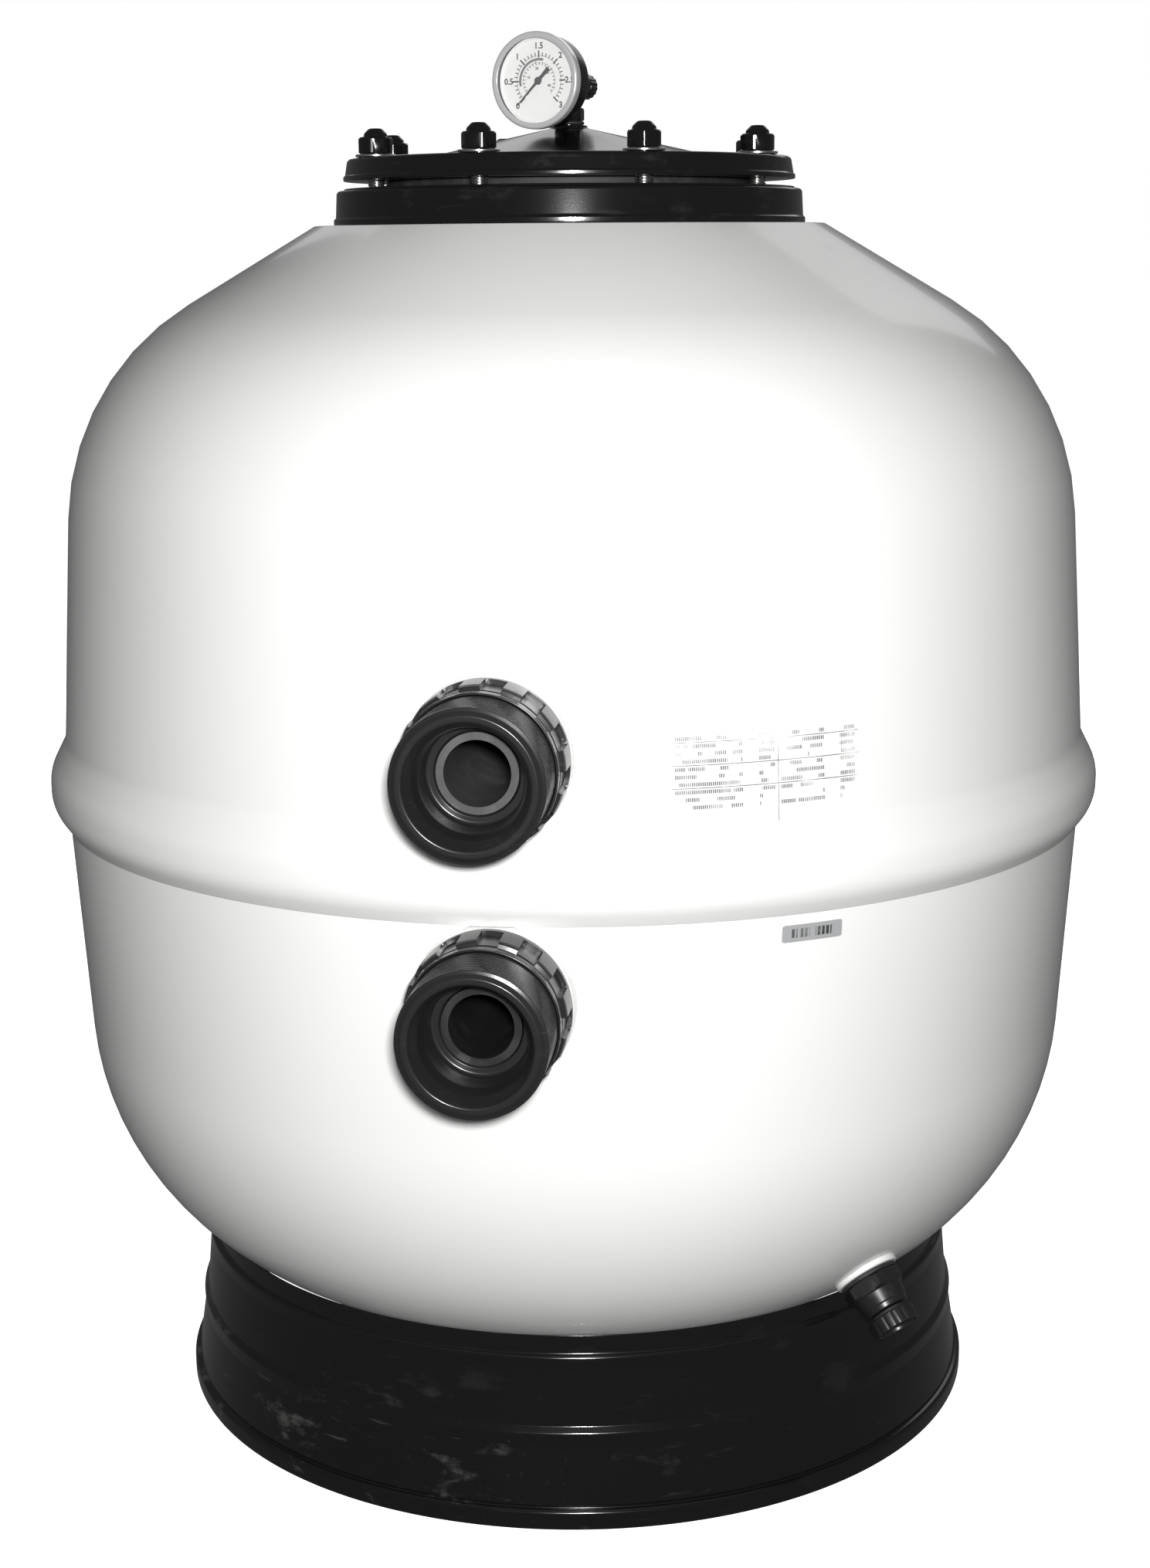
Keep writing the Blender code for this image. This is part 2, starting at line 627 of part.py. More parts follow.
def make_upper_shell():
    """Top half: band with the socket for the lower half, drafted wall, shoulder and neck land."""
    outside = rounded([
        (MOUTH_RADIUS, NECK_Z, 0),
        (NECK_LAND_RADIUS, NECK_Z, 0),
        (SHOULDER_CORNER, SHOULDER_TOP, SHOULDER_RADIUS),
        (TANK_RADIUS, BAND_TOP, 0),
        (BAND_RADIUS, BAND_TOP - BAND_SLOPE, 0),
        (BAND_RADIUS, BAND_BOTTOM + BAND_LIP, 0),
        (BAND_RADIUS - BAND_CHAMFER, BAND_BOTTOM + BAND_LIP - BAND_CHAMFER, 0),
        (TANK_RADIUS + FIT + BAND_LIP_LAND, BAND_BOTTOM, 0),
    ])
    land_bottom = NECK_Z - NECK_LAND_THICKNESS
    cone_foot = (NECK_LAND_RADIUS - TANK_WALL, land_bottom)
    shoulder = inset(outside[1:-4], TANK_WALL)[1:]
    socket = [
        (TANK_RADIUS + FIT, BAND_BOTTOM),
        (TANK_RADIUS + FIT, SPIGOT_TOP + GAP),
        (TANK_RADIUS - TANK_WALL, SPIGOT_TOP + GAP),
    ]
    inside = socket + shoulder[::-1] + [cone_foot, (MOUTH_RADIUS, land_bottom)]
    shell = turned("tank_upper_shell", outside + inside, WHITE_SHELL, TANK)
    join(shell, port_pad("upper_port_pad", UPPER_PORT, port_pad_inner(upper_wall_radius, UPPER_PORT_Z)))
    combine(shell, port_hole("upper_port_hole", UPPER_PORT))
    return shell


# ---------------------------------------------------------------- neck, lid and bolts
def bolt_places(z):
    """Where the bolts stand, at a height."""
    return [
        Matrix.Translation((BOLT_CIRCLE * math.sin(turn), -BOLT_CIRCLE * math.cos(turn), z))
        for turn in around(BOLT_COUNT, BOLT_PHASE)
    ]


def bolt_holes(name, radius, low, high):
    """Cutters for the bolt circle, as one helper."""
    mesh = bpy.data.meshes.new(name)
    built = bmesh.new()
    corner = flats_at(radius, SMALL_STEPS)
    for place in bolt_places((low + high) / 2):
        bmesh.ops.create_cone(built, cap_ends=True, segments=SMALL_STEPS, radius1=corner,
                              radius2=corner, depth=high - low, matrix=place)
    built.to_mesh(mesh)
    built.free()
    return piece(name, mesh, None, TANK, collection=CUTTERS)


def make_neck_ring():
    """Flanged ring on the neck land, with a spigot in the mouth and blind holes for the studs."""
    foot = NECK_Z + GAP
    ring = turned("neck_ring", rounded([
        (RING_BORE, RING_TOP, 0),
        (RING_RADIUS - RING_TAPER, RING_TOP, RING_TAPER),
        (RING_RADIUS, foot, 0),
        (MOUTH_RADIUS - FIT, foot, 0),
        (MOUTH_RADIUS - FIT, foot - RING_SPIGOT, 0),
        (RING_BORE, foot - RING_SPIGOT, 0),
    ]), BLACK_PLASTIC, TANK)
    return combine(ring, bolt_holes("stud_holes", STUD_RADIUS + GAP, RING_TOP - STUD_DEPTH,
                                    RING_TOP + STUD_DEPTH))


def make_lid_gasket():
    """Flat ring between the neck ring and the lid, inside the bolts."""
    low = RING_TOP + GAP
    high = low + GASKET_THICKNESS
    return turned("lid_gasket", [(GASKET_OUTER, high), (GASKET_OUTER, low), (GASKET_INNER, low),
                                 (GASKET_INNER, high)], BLACK_RUBBER, TANK)


def make_lid():
    """Flanged lid with a shallow cone, a boss for the tee and a spigot that centres it."""
    spigot = RING_BORE - 3 * FIT
    inner = spigot - LID_SPIGOT_WALL
    hole = NIPPLE_RADIUS + FIT
    cone_top = LID_TOP + CONE_RISE
    lid = turned("lid", rounded([
        (hole, BOSS_TOP, 0),
        (BOSS_RADIUS, BOSS_TOP, 0),
        (BOSS_RADIUS, cone_top, 0),
        (CONE_RADIUS, LID_TOP, 0),
        (LID_RADIUS - LID_TAPER, LID_TOP, LID_TAPER),
        (LID_RADIUS, LID_Z, 0),
        (spigot, LID_Z, 0),
        (spigot, LID_Z - LID_SPIGOT, 0),
        (inner, LID_Z - LID_SPIGOT, 0),
        (inner, LID_TOP - LID_WALL, 0),
        (hole, cone_top - LID_WALL, 0),
    ]), BLACK_PLASTIC, TANK)
    return combine(lid, bolt_holes("lid_bolt_holes", STUD_RADIUS + STUD_CLEARANCE,
                                   LID_Z - LID_FLANGE, LID_TOP + LID_FLANGE))


def make_bolts():
    """Studs in the neck ring and a capped nut, with its washer face, on each."""
    foot = RING_TOP - STUD_DEPTH + GAP
    top = LID_TOP + GAP + STUD_REACH
    stud = cylinder("lid_stud_1", STUD_RADIUS, 0, top - foot, STAINLESS, TANK,
                    bolt_places(foot)[0])
    names = [f"lid_stud_{index}" for index in range(2, BOLT_COUNT + 1)]
    copies(freeze(stud), names, bolt_places(foot)[1:])

    places = bolt_places(LID_TOP + GAP)
    cavity = STUD_RADIUS + GAP
    dome = arc((0, NUT_HEIGHT - NUT_DOME_RADIUS), NUT_DOME_RADIUS, math.pi / 2, 0, 3)
    nut = turned("cap_nut_1", [(0, dome[0][1])] + dome[1:] + [
        (NUT_DOME_RADIUS, NUT_HEX_HEIGHT / 2), (0, NUT_HEX_HEIGHT / 2)],
        BLACK_PLASTIC, TANK, places[0], steps=SMALL_STEPS)
    hexagon = cylinder("nut_hexagon", NUT_CORNERS / 2, WASHER_THICKNESS / 2, NUT_HEX_HEIGHT, None,
                       TANK, places[0], steps=6, collection=CUTTERS)
    washer = cylinder("nut_washer", WASHER_RADIUS, 0, WASHER_THICKNESS, None, TANK, places[0],
                      steps=SMALL_STEPS, collection=CUTTERS)
    thread = bore("nut_thread", cavity, -NUT_HEIGHT, STUD_REACH + GAP, TANK, places[0])
    combine(join(join(nut, hexagon), washer), thread)
    names = [f"cap_nut_{index}" for index in range(2, BOLT_COUNT + 1)]
    copies(freeze(nut), names, places[1:])


# ---------------------------------------------------------------- tee and purge screw
def make_tee():
    """Fitting in the lid's boss, with an arm for the gauge and one for the purge screw."""
    waist_z = COLLAR_Z + COLLAR_HEIGHT
    shoulder_z = waist_z + TEE_WAIST_SHARE * (GAUGE_Z - waist_z)
    top = GAUGE_Z + TEE_ARM + GAP
    tee = turned("tee_fitting", rounded([
        (0, top, 0),
        (TEE_RADIUS, top, TEE_RADIUS / 3),
        (TEE_RADIUS, shoulder_z, 0),
        (TEE_WAIST, waist_z, 0),
        (TEE_WAIST, COLLAR_Z + COLLAR_HEIGHT / 2, 0),
        (NIPPLE_RADIUS, COLLAR_Z + COLLAR_HEIGHT / 2, 0),
        (NIPPLE_RADIUS, COLLAR_Z - NIPPLE_LENGTH, 0),
        (0, COLLAR_Z - NIPPLE_LENGTH, 0),
    ]), BLACK_PLASTIC, TANK, steps=FITTING_STEPS)
    collar = cylinder("tee_collar", COLLAR_CORNERS / 2, COLLAR_Z, waist_z, None, TANK,
                      Matrix.Rotation(math.radians(22), 4, "Z"), steps=6, collection=CUTTERS)
    arms = cylinder("tee_arms", TEE_ARM, -TEE_BACK, TEE_FRONT, None, GAUGE,
                    steps=SMALL_STEPS, collection=CUTTERS)
    join(join(tee, collar), arms)
    bores = (
        ("tee_channel", CHANNEL, COLLAR_Z - 2 * NIPPLE_LENGTH, GAUGE_Z, TANK),
        ("tee_cross_channel", CHANNEL, -2 * TEE_BACK, 2 * TEE_FRONT, GAUGE),
        ("tee_gauge_socket", STEM_RADIUS + GAP, TEE_FRONT - STEM_INSERT - GAP, 2 * TEE_FRONT, GAUGE),
        ("tee_purge_socket", PURGE_SPIGOT + GAP, -2 * TEE_BACK, GAP + PURGE_REACH - TEE_BACK, GAUGE),
    )
    for name, radius, low, high, where in bores:
        combine(tee, bore(name, radius, low, high, where))
    o_ring("tee_o_ring", NIPPLE_RADIUS + GAP + O_RING, BOSS_TOP + GAP + O_RING, TANK)


def make_purge_screw():
    """Ribbed knob that screws into the tee's back arm and squeezes a ring against it."""
    shoulder = -(TEE_BACK + 2 * GAP + 2 * O_RING)
    knob = turned("purge_knob", [
        (0, shoulder + 2 * O_RING + GAP + PURGE_REACH),
        (PURGE_SPIGOT, shoulder + 2 * O_RING + GAP + PURGE_REACH),
        (PURGE_SPIGOT, shoulder),
        (PURGE_RADIUS, shoulder),
        (PURGE_RADIUS, shoulder - PURGE_LENGTH + PURGE_RADIUS / 8),
        (PURGE_RADIUS * 7 / 8, shoulder - PURGE_LENGTH),
        (0, shoulder - PURGE_LENGTH),
    ], BLACK_PLASTIC, GAUGE, steps=FITTING_STEPS)
    middle = shoulder - PURGE_LENGTH
    grooves = [
        ((PURGE_RADIUS / 6, PURGE_RADIUS / 6, PURGE_LENGTH),
         Matrix.Rotation(turn, 4, "Z") @ Matrix.Translation((PURGE_RADIUS, 0, middle)))
        for turn in around(PURGE_RIBS, math.pi / PURGE_RIBS)
    ]
    combine(knob, boxes("purge_grooves", grooves, None, GAUGE, collection=CUTTERS))
    o_ring("purge_o_ring", PURGE_SPIGOT + GAP + O_RING, -(TEE_BACK + GAP + O_RING), GAUGE)


# ---------------------------------------------------------------- pressure gauge
def make_gauge():
    """Back-connected gauge: case, bezel, lens and dial round a coiled tube and its movement."""
    rim = CASE_BACK + CASE_DEPTH
    cavity = CASE_RADIUS - CASE_WALL
    stem_hole = STEM_RADIUS + 2 * GAP
    floor = CASE_BACK + CASE_WALL
    turned("gauge_case", [
        (CASE_RADIUS, rim),
        (CASE_RADIUS, CASE_BACK + CASE_ROUND),
        (CASE_RADIUS - CASE_ROUND / 3, CASE_BACK + CASE_ROUND / 3),
        (CASE_RADIUS - CASE_ROUND, CASE_BACK),
        (stem_hole, CASE_BACK),
        (stem_hole, floor),
        (CASE_RADIUS - CASE_ROUND, floor),
        (cavity, floor + CASE_ROUND - CASE_WALL),
        (cavity, rim),
    ], BLACK_PLASTIC, GAUGE, steps=PORT_STEPS)
    lens_back = rim + GAP
    lens_front = lens_back + LENS_THICKNESS
    lip = lens_front + GAP
    face = lip + CASE_WALL
    cup = CASE_RADIUS + GAP
    turned("gauge_bezel", [
        (BEZEL_RADIUS - BEZEL_WALL, face),
        (BEZEL_RADIUS, face - BEZEL_WALL),
        (BEZEL_RADIUS, face - BEZEL_DEPTH),
        (cup, face - BEZEL_DEPTH),
        (cup, lip),
        (BEZEL_RADIUS - BEZEL_LIP, lip),
        (BEZEL_RADIUS - BEZEL_LIP, face),
    ], CHROME, GAUGE, steps=PORT_STEPS)
    cylinder("gauge_lens", CASE_RADIUS - GAP, lens_back, lens_front, CLEAR_LENS, GAUGE, steps=PORT_STEPS)

    dial_face = rim - DIAL_DEPTH
    dial_back = dial_face - DIAL_THICKNESS
    turned("gauge_dial", [
        (cavity - GAP, dial_face),
        (cavity - GAP, dial_back),
        (2 * ARBOR_RADIUS, dial_back),
        (2 * ARBOR_RADIUS, dial_face),
    ], DIAL_WHITE, GAUGE, steps=PORT_STEPS)
    pointer_back = dial_face + 2 * GAP + ARBOR_RADIUS
    make_pointer(pointer_back)
    make_movement(floor + GAP, pointer_back - GAP)


def make_pointer(back):
    """Tapered blade with a broad tail and a round hub."""
    hub = POINTER_LENGTH / 9
    blade = POINTER_LENGTH / 45
    outline = [(-blade / 2, POINTER_LENGTH), (-blade, hub)]
    outline += arc((0, 0), hub, math.radians(115), math.radians(235), 4)
    outline += [(-hub / 2, -POINTER_TAIL), (hub / 2, -POINTER_TAIL)]
    outline += arc((0, 0), hub, math.radians(305), math.radians(425), 4)
    outline += [(blade, hub), (blade / 2, POINTER_LENGTH)]
    flat("gauge_pointer", [outline], back, back + POINTER_THICKNESS, BLACK_PLASTIC, GAUGE,
         Matrix.Rotation(POINTER_REST, 4, "Z"))


def make_movement(back, arbor_front):
    """Socket with its stem and foot, the coiled tube, and the sector that turns the pointer."""
    plate = back + BLOCK_THICKNESS
    foot_top = plate + BLOCK_THICKNESS
    foot_y = TUBE_COIL * math.sin(TUBE_START)
    low_y = foot_y - BLOCK_HALF_WIDTH / 2
    socket = boxes("gauge_socket", [(
        (2 * BLOCK_HALF_WIDTH, BLOCK_HALF_WIDTH - low_y, BLOCK_THICKNESS),
        Matrix.Translation((0, (BLOCK_HALF_WIDTH + low_y) / 2, back + BLOCK_THICKNESS / 2)))],
        BRASS, GAUGE)
    foot = boxes("gauge_foot", [(
        (2 * BLOCK_HALF_WIDTH, BLOCK_HALF_WIDTH, foot_top - back - GAP),
        Matrix.Translation((0, foot_y, (foot_top + back + GAP) / 2)))],
        None, GAUGE, collection=CUTTERS)
    stem = cylinder("gauge_stem", STEM_RADIUS, TEE_FRONT - STEM_INSERT, plate - GAP, None, GAUGE,
                    collection=CUTTERS)
    join(join(socket, foot), stem)
    reach = PINION_RADIUS + SECTOR_RADIUS
    pivot = Vector((-reach * math.cos(SECTOR_DIRECTION), -reach * math.sin(SECTOR_DIRECTION)))
    pin = cylinder("sector_pin", ARBOR_RADIUS, plate - GAP, plate + 3 * SECTOR_THICKNESS, None, GAUGE,
                   Matrix.Translation((*pivot, 0)), collection=CUTTERS)
    join(socket, pin)

    tube_z = foot_top - BLOCK_THICKNESS / 2
    angles = [TUBE_START + TUBE_SWEEP * step / COIL_STEPS for step in range(COIL_STEPS + 1)]
    coil = [(TUBE_COIL * math.cos(a), TUBE_COIL * math.sin(a), tube_z) for a in angles]
    rod("bourdon_tube", coil, TUBE_RADIUS, BRASS, GAUGE, sides=8)

    rim = SECTOR_RADIUS - GAP / 2
    low = SECTOR_DIRECTION - SECTOR_SWEEP - SECTOR_MARGIN
    high = SECTOR_DIRECTION + SECTOR_MARGIN
    outline = arc((0, 0), rim, low, high, 6)
    outline += arc((0, 0), SECTOR_BOSS, high + SECTOR_SHOULDER, low + 2 * math.pi - SECTOR_SHOULDER, 6)
    hole = arc((0, 0), ARBOR_RADIUS + FIT, 0, math.radians(315), 7)
    sector_z = plate + GAP
    flat("sector_gear", [outline, hole], sector_z, sector_z + SECTOR_THICKNESS, BRASS, GAUGE,
         Matrix.Translation((*pivot, 0)))
    turned("pointer_pinion", [
        (0, arbor_front),
        (ARBOR_RADIUS, arbor_front),
        (ARBOR_RADIUS, sector_z + 1.5 * SECTOR_THICKNESS),
        (PINION_RADIUS - GAP / 2, sector_z + 1.5 * SECTOR_THICKNESS),
        (PINION_RADIUS - GAP / 2, sector_z),
        (0, sector_z),
    ], BRASS, GAUGE, steps=SMALL_STEPS)


# ---------------------------------------------------------------- side ports
def make_port(side, where, wall, z, lug_phase):
    """One bulkhead fitting: threaded tube with its inner flange, a gasket and a lock ring."""
    inner_face = port_pad_inner(wall, z)
    seat = inner_face - PORT_GASKET - 2 * GAP
    socket_floor = PORT_FACE - SOCKET_DEPTH
    pipe_bore = flats_at(PIPE_RADIUS + GAP, PORT_STEPS)
    turned(f"{side}_port_body", [
        (THREAD_RADIUS - THREAD_CHAMFER, PORT_FACE),
        (THREAD_RADIUS, PORT_FACE - THREAD_CHAMFER),
        (THREAD_RADIUS, seat),
        (PORT_FLANGE_RADIUS, seat),
        (PORT_FLANGE_RADIUS, seat - PORT_FLANGE),
        (pipe_bore, seat - PORT_FLANGE),
        (pipe_bore, socket_floor),
        (SOCKET_RADIUS, socket_floor),
        (SOCKET_RADIUS + SOCKET_LEAD / 3, PORT_FACE - SOCKET_LEAD),
        (SOCKET_RADIUS + SOCKET_LEAD, PORT_FACE),
    ], BLACK_PLASTIC, where, steps=PORT_STEPS)
    ring_bore = THREAD_RADIUS + THREAD_CLEARANCE
    turned(f"{side}_port_gasket", [
        (PORT_FLANGE_RADIUS, inner_face - GAP),
        (PORT_FLANGE_RADIUS, seat + GAP),
        (ring_bore, seat + GAP),
        (ring_bore, inner_face - GAP),
    ], BLACK_RUBBER, where, steps=PORT_STEPS)
    back = PAD_FACE + GAP
    front = back + LOCK_LENGTH
    ring = turned(f"{side}_lock_ring", [
        (LOCK_COLLAR_RADIUS, front + LOCK_COLLAR),
        (LOCK_COLLAR_RADIUS, front),
        (LOCK_RADIUS, front),
        (LOCK_RADIUS, back),
        (THREAD_RADIUS + GAP, back),
        (THREAD_RADIUS + GAP, front + LOCK_COLLAR),
    ], BLACK_PLASTIC, where, steps=PORT_STEPS)
    notches = [
        ((2 * (LOCK_RADIUS - LOCK_COLLAR_RADIUS), LOCK_NOTCH, 2 * LOCK_LENGTH),
         Matrix.Rotation(turn, 4, "Z") @ Matrix.Translation((LOCK_RADIUS, 0, back + 1.2 * LOCK_LENGTH)))
        for turn in around(LOCK_LUGS, lug_phase + math.pi / LOCK_LUGS)
    ]
    combine(ring, boxes(f"{side}_lock_notches", notches, None, where, collection=CUTTERS))


# ---------------------------------------------------------------- pipes inside the tank
def bend(centre, start, end):
    """Points of a pipe's quarter bend in the plane through the tank's axis and the ports."""
    return [(0, y, z) for y, z in arc(centre, BEND_RADIUS, start, end, BEND_STEPS)]


def make_pipe(name, line, straight_on):
    """A bent pipe along a line, bored from end to end."""
    pipe = rod(name, line, PIPE_RADIUS, GREY_PIPE, TANK, sides=12)
    first = Vector(line[0]) - Vector(straight_on[0])
    last = Vector(line[-1]) - Vector(straight_on[1])
    bored = [tuple(first), *line[1:-1], tuple(last)]
    return combine(pipe, rod(name + "_bore", bored, PIPE_RADIUS - PIPE_WALL, None, TANK, sides=12,
                             collection=CUTTERS))


def make_inlet():
    """Pipe from the upper port up to a bell that spreads the water over the sand."""
    end = PORT_FACE - SOCKET_DEPTH - GAP
    top = NECK_Z - RISER_TOP_BELOW_NECK
    corner = (-(RISER_OFFSET + BEND_RADIUS), UPPER_PORT_Z + BEND_RADIUS)
    line = [(0, -end, UPPER_PORT_Z)] + bend(corner, -math.pi / 2, 0) + [(0, -RISER_OFFSET, top)]
    make_pipe("inlet_pipe", line, ((0, PIPE_RADIUS, 0), (0, 0, -PIPE_RADIUS)))
    sleeve = flats_at(PIPE_RADIUS + GAP, PORT_STEPS)
    waterway = PIPE_RADIUS - PIPE_WALL
    cup = top + GAP
    throat = cup + 2 * SLEEVE_WALL
    turned("diffuser", [
        (BELL_RADIUS, throat + BELL_HEIGHT),
        (BELL_RADIUS, throat + BELL_HEIGHT - BELL_WALL),
        (sleeve + SLEEVE_WALL, cup),
        (sleeve + SLEEVE_WALL, top - SLEEVE_LENGTH),
        (sleeve, top - SLEEVE_LENGTH),
        (sleeve, cup),
        (waterway, cup),
        (waterway, throat - SLEEVE_WALL / 2),
        (BELL_RADIUS - BELL_WALL, throat + BELL_HEIGHT),
    ], BLACK_PLASTIC, TANK, Matrix.Translation((0, -RISER_OFFSET, 0)), steps=PORT_STEPS)


def make_outlet():
    """Pipe from the lower port down to the hub, whose laterals gather the clean water."""
    bottom = DISH_CENTRE - DISH_RADIUS + TANK_WALL + HUB_ABOVE_BOTTOM
    hub_top = bottom + HUB_HEIGHT
    pipe_end = hub_top - HUB_SOCKET + GAP
    end = PORT_FACE - SOCKET_DEPTH - GAP
    corner = (-BEND_RADIUS, LOWER_PORT_Z - BEND_RADIUS)
    line = [(0, -end, LOWER_PORT_Z)] + bend(corner, math.pi / 2, 0) + [(0, 0, pipe_end)]
    make_pipe("outlet_pipe", line, ((0, PIPE_RADIUS, 0), (0, 0, PIPE_RADIUS)))

    cup = flats_at(PIPE_RADIUS + GAP, FITTING_STEPS)
    hub = turned("collector_hub", [
        (cup, hub_top),
        (HUB_RADIUS, hub_top),
        (HUB_RADIUS, bottom),
        (LATERAL_BORE, bottom),
        (LATERAL_BORE, bottom + LATERAL_TIP),
        (PIPE_RADIUS - PIPE_WALL, bottom + LATERAL_TIP),
        (PIPE_RADIUS - PIPE_WALL, hub_top - HUB_SOCKET),
        (cup, hub_top - HUB_SOCKET),
    ], BLACK_PLASTIC, TANK, steps=FITTING_STEPS)
    make_laterals(hub, bottom + LATERAL_HEIGHT)


def make_laterals(hub, height):
    """Slotted arms that plug into the hub, closed at their tips."""
    turns = around(LATERAL_COUNT, math.pi / LATERAL_COUNT)
    corner = flats_at(LATERAL_SPIGOT_RADIUS + GAP, SMALL_STEPS)
    mesh = bpy.data.meshes.new("lateral_holes")
    built = bmesh.new()
    for turn in turns:
        where = Matrix.Translation((0, 0, height)) @ facing(turn) @ Matrix.Translation((0, 0, HUB_RADIUS))
        bmesh.ops.create_cone(built, cap_ends=True, segments=SMALL_STEPS, depth=2 * HUB_SOCKET,
                              radius1=corner, radius2=corner, matrix=where)
    built.to_mesh(mesh)
    built.free()
    combine(hub, piece("lateral_holes", mesh, None, TANK, collection=CUTTERS))

    root = HUB_RADIUS + GAP
    places = [Matrix.Translation((0, 0, height)) @ facing(turn) for turn in turns]
    lateral = turned("collector_lateral_1", [
        (0, LATERAL_REACH),
        (LATERAL_RADIUS - LATERAL_TIP / 2, LATERAL_REACH),
        (LATERAL_RADIUS, LATERAL_REACH - LATERAL_TIP / 2),
        (LATERAL_RADIUS, root),
        (LATERAL_SPIGOT_RADIUS, root),
        (LATERAL_SPIGOT_RADIUS, root - LATERAL_SPIGOT),
        (LATERAL_BORE, root - LATERAL_SPIGOT),
        (LATERAL_BORE, LATERAL_REACH - LATERAL_TIP),
        (0, LATERAL_REACH - LATERAL_TIP),
    ], BLACK_PLASTIC, TANK, places[0], steps=SMALL_STEPS)
    names = [f"collector_lateral_{index}" for index in range(2, LATERAL_COUNT + 1)]
    copies(freeze(lateral), names, places[1:])


# ---------------------------------------------------------------- drain
def make_drain():
    """Drain through the knuckle: hexagon body, gasket, inner strainer and a screwed plug."""
    seat = DRAIN_PAD_PROUD + GAP
    hex_low = seat + DRAIN_GASKET + GAP
    hex_high = hex_low + DRAIN_HEX
    end = hex_high + DRAIN_TAPER_LENGTH
    inner_end = -(DRAIN_PAD_INSET + STRAINER_SOCKET)
    body = turned("drain_body", [
        (DRAIN_TAPER_END, end),
        (DRAIN_TAPER_START, hex_high),
        (DRAIN_TAPER_START, hex_high - DRAIN_HEX / 2),
        (DRAIN_TUBE_RADIUS, hex_high - DRAIN_HEX / 2),
        (DRAIN_TUBE_RADIUS, inner_end),
        (DRAIN_BORE, inner_end),
        (DRAIN_BORE, end),
    ], BLACK_PLASTIC, DRAIN, steps=FITTING_STEPS)
    hexagon = turned("drain_hexagon", [
        (DRAIN_HEX_CORNERS / 2, hex_high),
        (DRAIN_HEX_CORNERS / 2, hex_low),
        ((DRAIN_TUBE_RADIUS + DRAIN_BORE) / 2, hex_low),
        ((DRAIN_TUBE_RADIUS + DRAIN_BORE) / 2, hex_high),
    ], None, DRAIN, steps=6, collection=CUTTERS)
    join(body, hexagon)
    ring = DRAIN_TUBE_RADIUS + FIT
    turned("drain_gasket", [
        (DRAIN_GASKET_RADIUS, seat + DRAIN_GASKET),
        (DRAIN_GASKET_RADIUS, seat),
        (ring, seat),
        (ring, seat + DRAIN_GASKET),
    ], BLACK_RUBBER, DRAIN, steps=FITTING_STEPS)

    strainer_top = -(DRAIN_PAD_INSET + GAP)
    strainer_end = strainer_top - STRAINER_LENGTH
    socket_end = strainer_top - STRAINER_SOCKET
    strainer = turned("drain_strainer", [
        (ring + STRAINER_WALL, strainer_top),
        (ring + STRAINER_WALL, strainer_end),
        (0, strainer_end),
        (0, strainer_end + STRAINER_WALL),
        (DRAIN_TUBE_RADIUS - STRAINER_WALL, strainer_end + STRAINER_WALL),
        (DRAIN_TUBE_RADIUS - STRAINER_WALL, socket_end),
        (ring, socket_end),
        (ring, strainer_top),
    ], BLACK_PLASTIC, DRAIN, steps=FITTING_STEPS)
    slots = [
        ((STRAINER_SLOT, DRAIN_GASKET_RADIUS, (STRAINER_LENGTH - STRAINER_SOCKET) / 2),
         Matrix.Rotation(turn, 4, "Z") @ Matrix.Translation(
             (0, DRAIN_GASKET_RADIUS, (strainer_end + socket_end) / 2)))
        for turn in around(STRAINER_SLOTS)
    ]
    combine(strainer, boxes("strainer_slots", slots, None, DRAIN, collection=CUTTERS))

    rim = end + 2 * GAP + 2 * O_RING
    face = rim + PLUG_LENGTH
    plug = turned("drain_plug", [
        (0, face),
        (PLUG_RADIUS, face),
        (PLUG_RADIUS, rim),
        (PLUG_SPIGOT_RADIUS, rim),
        (PLUG_SPIGOT_RADIUS, rim - PLUG_SPIGOT),
        (0, rim - PLUG_SPIGOT),
    ], BLACK_PLASTIC, DRAIN, steps=FITTING_STEPS)
    pockets = cylinder("plug_pockets", PLUG_RADIUS - PLUG_WALL, face - PLUG_POCKET, face + PLUG_POCKET,
                       None, DRAIN, steps=FITTING_STEPS, collection=CUTTERS)
    web = boxes("plug_web", [((2 * PLUG_RADIUS, PLUG_WEB, 4 * PLUG_POCKET), Matrix.Translation(
        (0, 0, face)))], None, DRAIN, collection=CUTTERS)
    combine(plug, combine(pockets, web))
    o_ring("drain_plug_o_ring", PLUG_SPIGOT_RADIUS + GAP + 2 * O_RING, end + GAP + O_RING, DRAIN)


# ---------------------------------------------------------------- labels
def make_label(name, size, wall):
    """A thin film wrapped round a wall."""
    width, height, middle, turn = size
    low = BAND_BOTTOM + middle - height / 2
    high = low + height
    span = width / wall(BAND_BOTTOM + middle)
    inner = [(wall(low) + GAP, low), (wall(high) + GAP, high)]
    mesh = bpy.data.meshes.new(name)
    built = bmesh.new()
    columns = []
    for step in range(LABEL_STEPS + 1):
        angle = turn - math.pi / 2 + span * (step / LABEL_STEPS - 0.5)
        columns.append([built.verts.new((r * math.cos(angle), r * math.sin(angle), z)) for r, z in inner])
    for left, right in zip(columns, columns[1:]):
        built.faces.new((left[0], right[0], right[1], left[1]))
    built.to_mesh(mesh)
    built.free()
    label = piece(name, mesh, LABEL_FILM, TANK)
    film = label.modifiers.new("film", "SOLIDIFY")
    film.thickness = LABEL_THICKNESS
    film.offset = 1
    return label


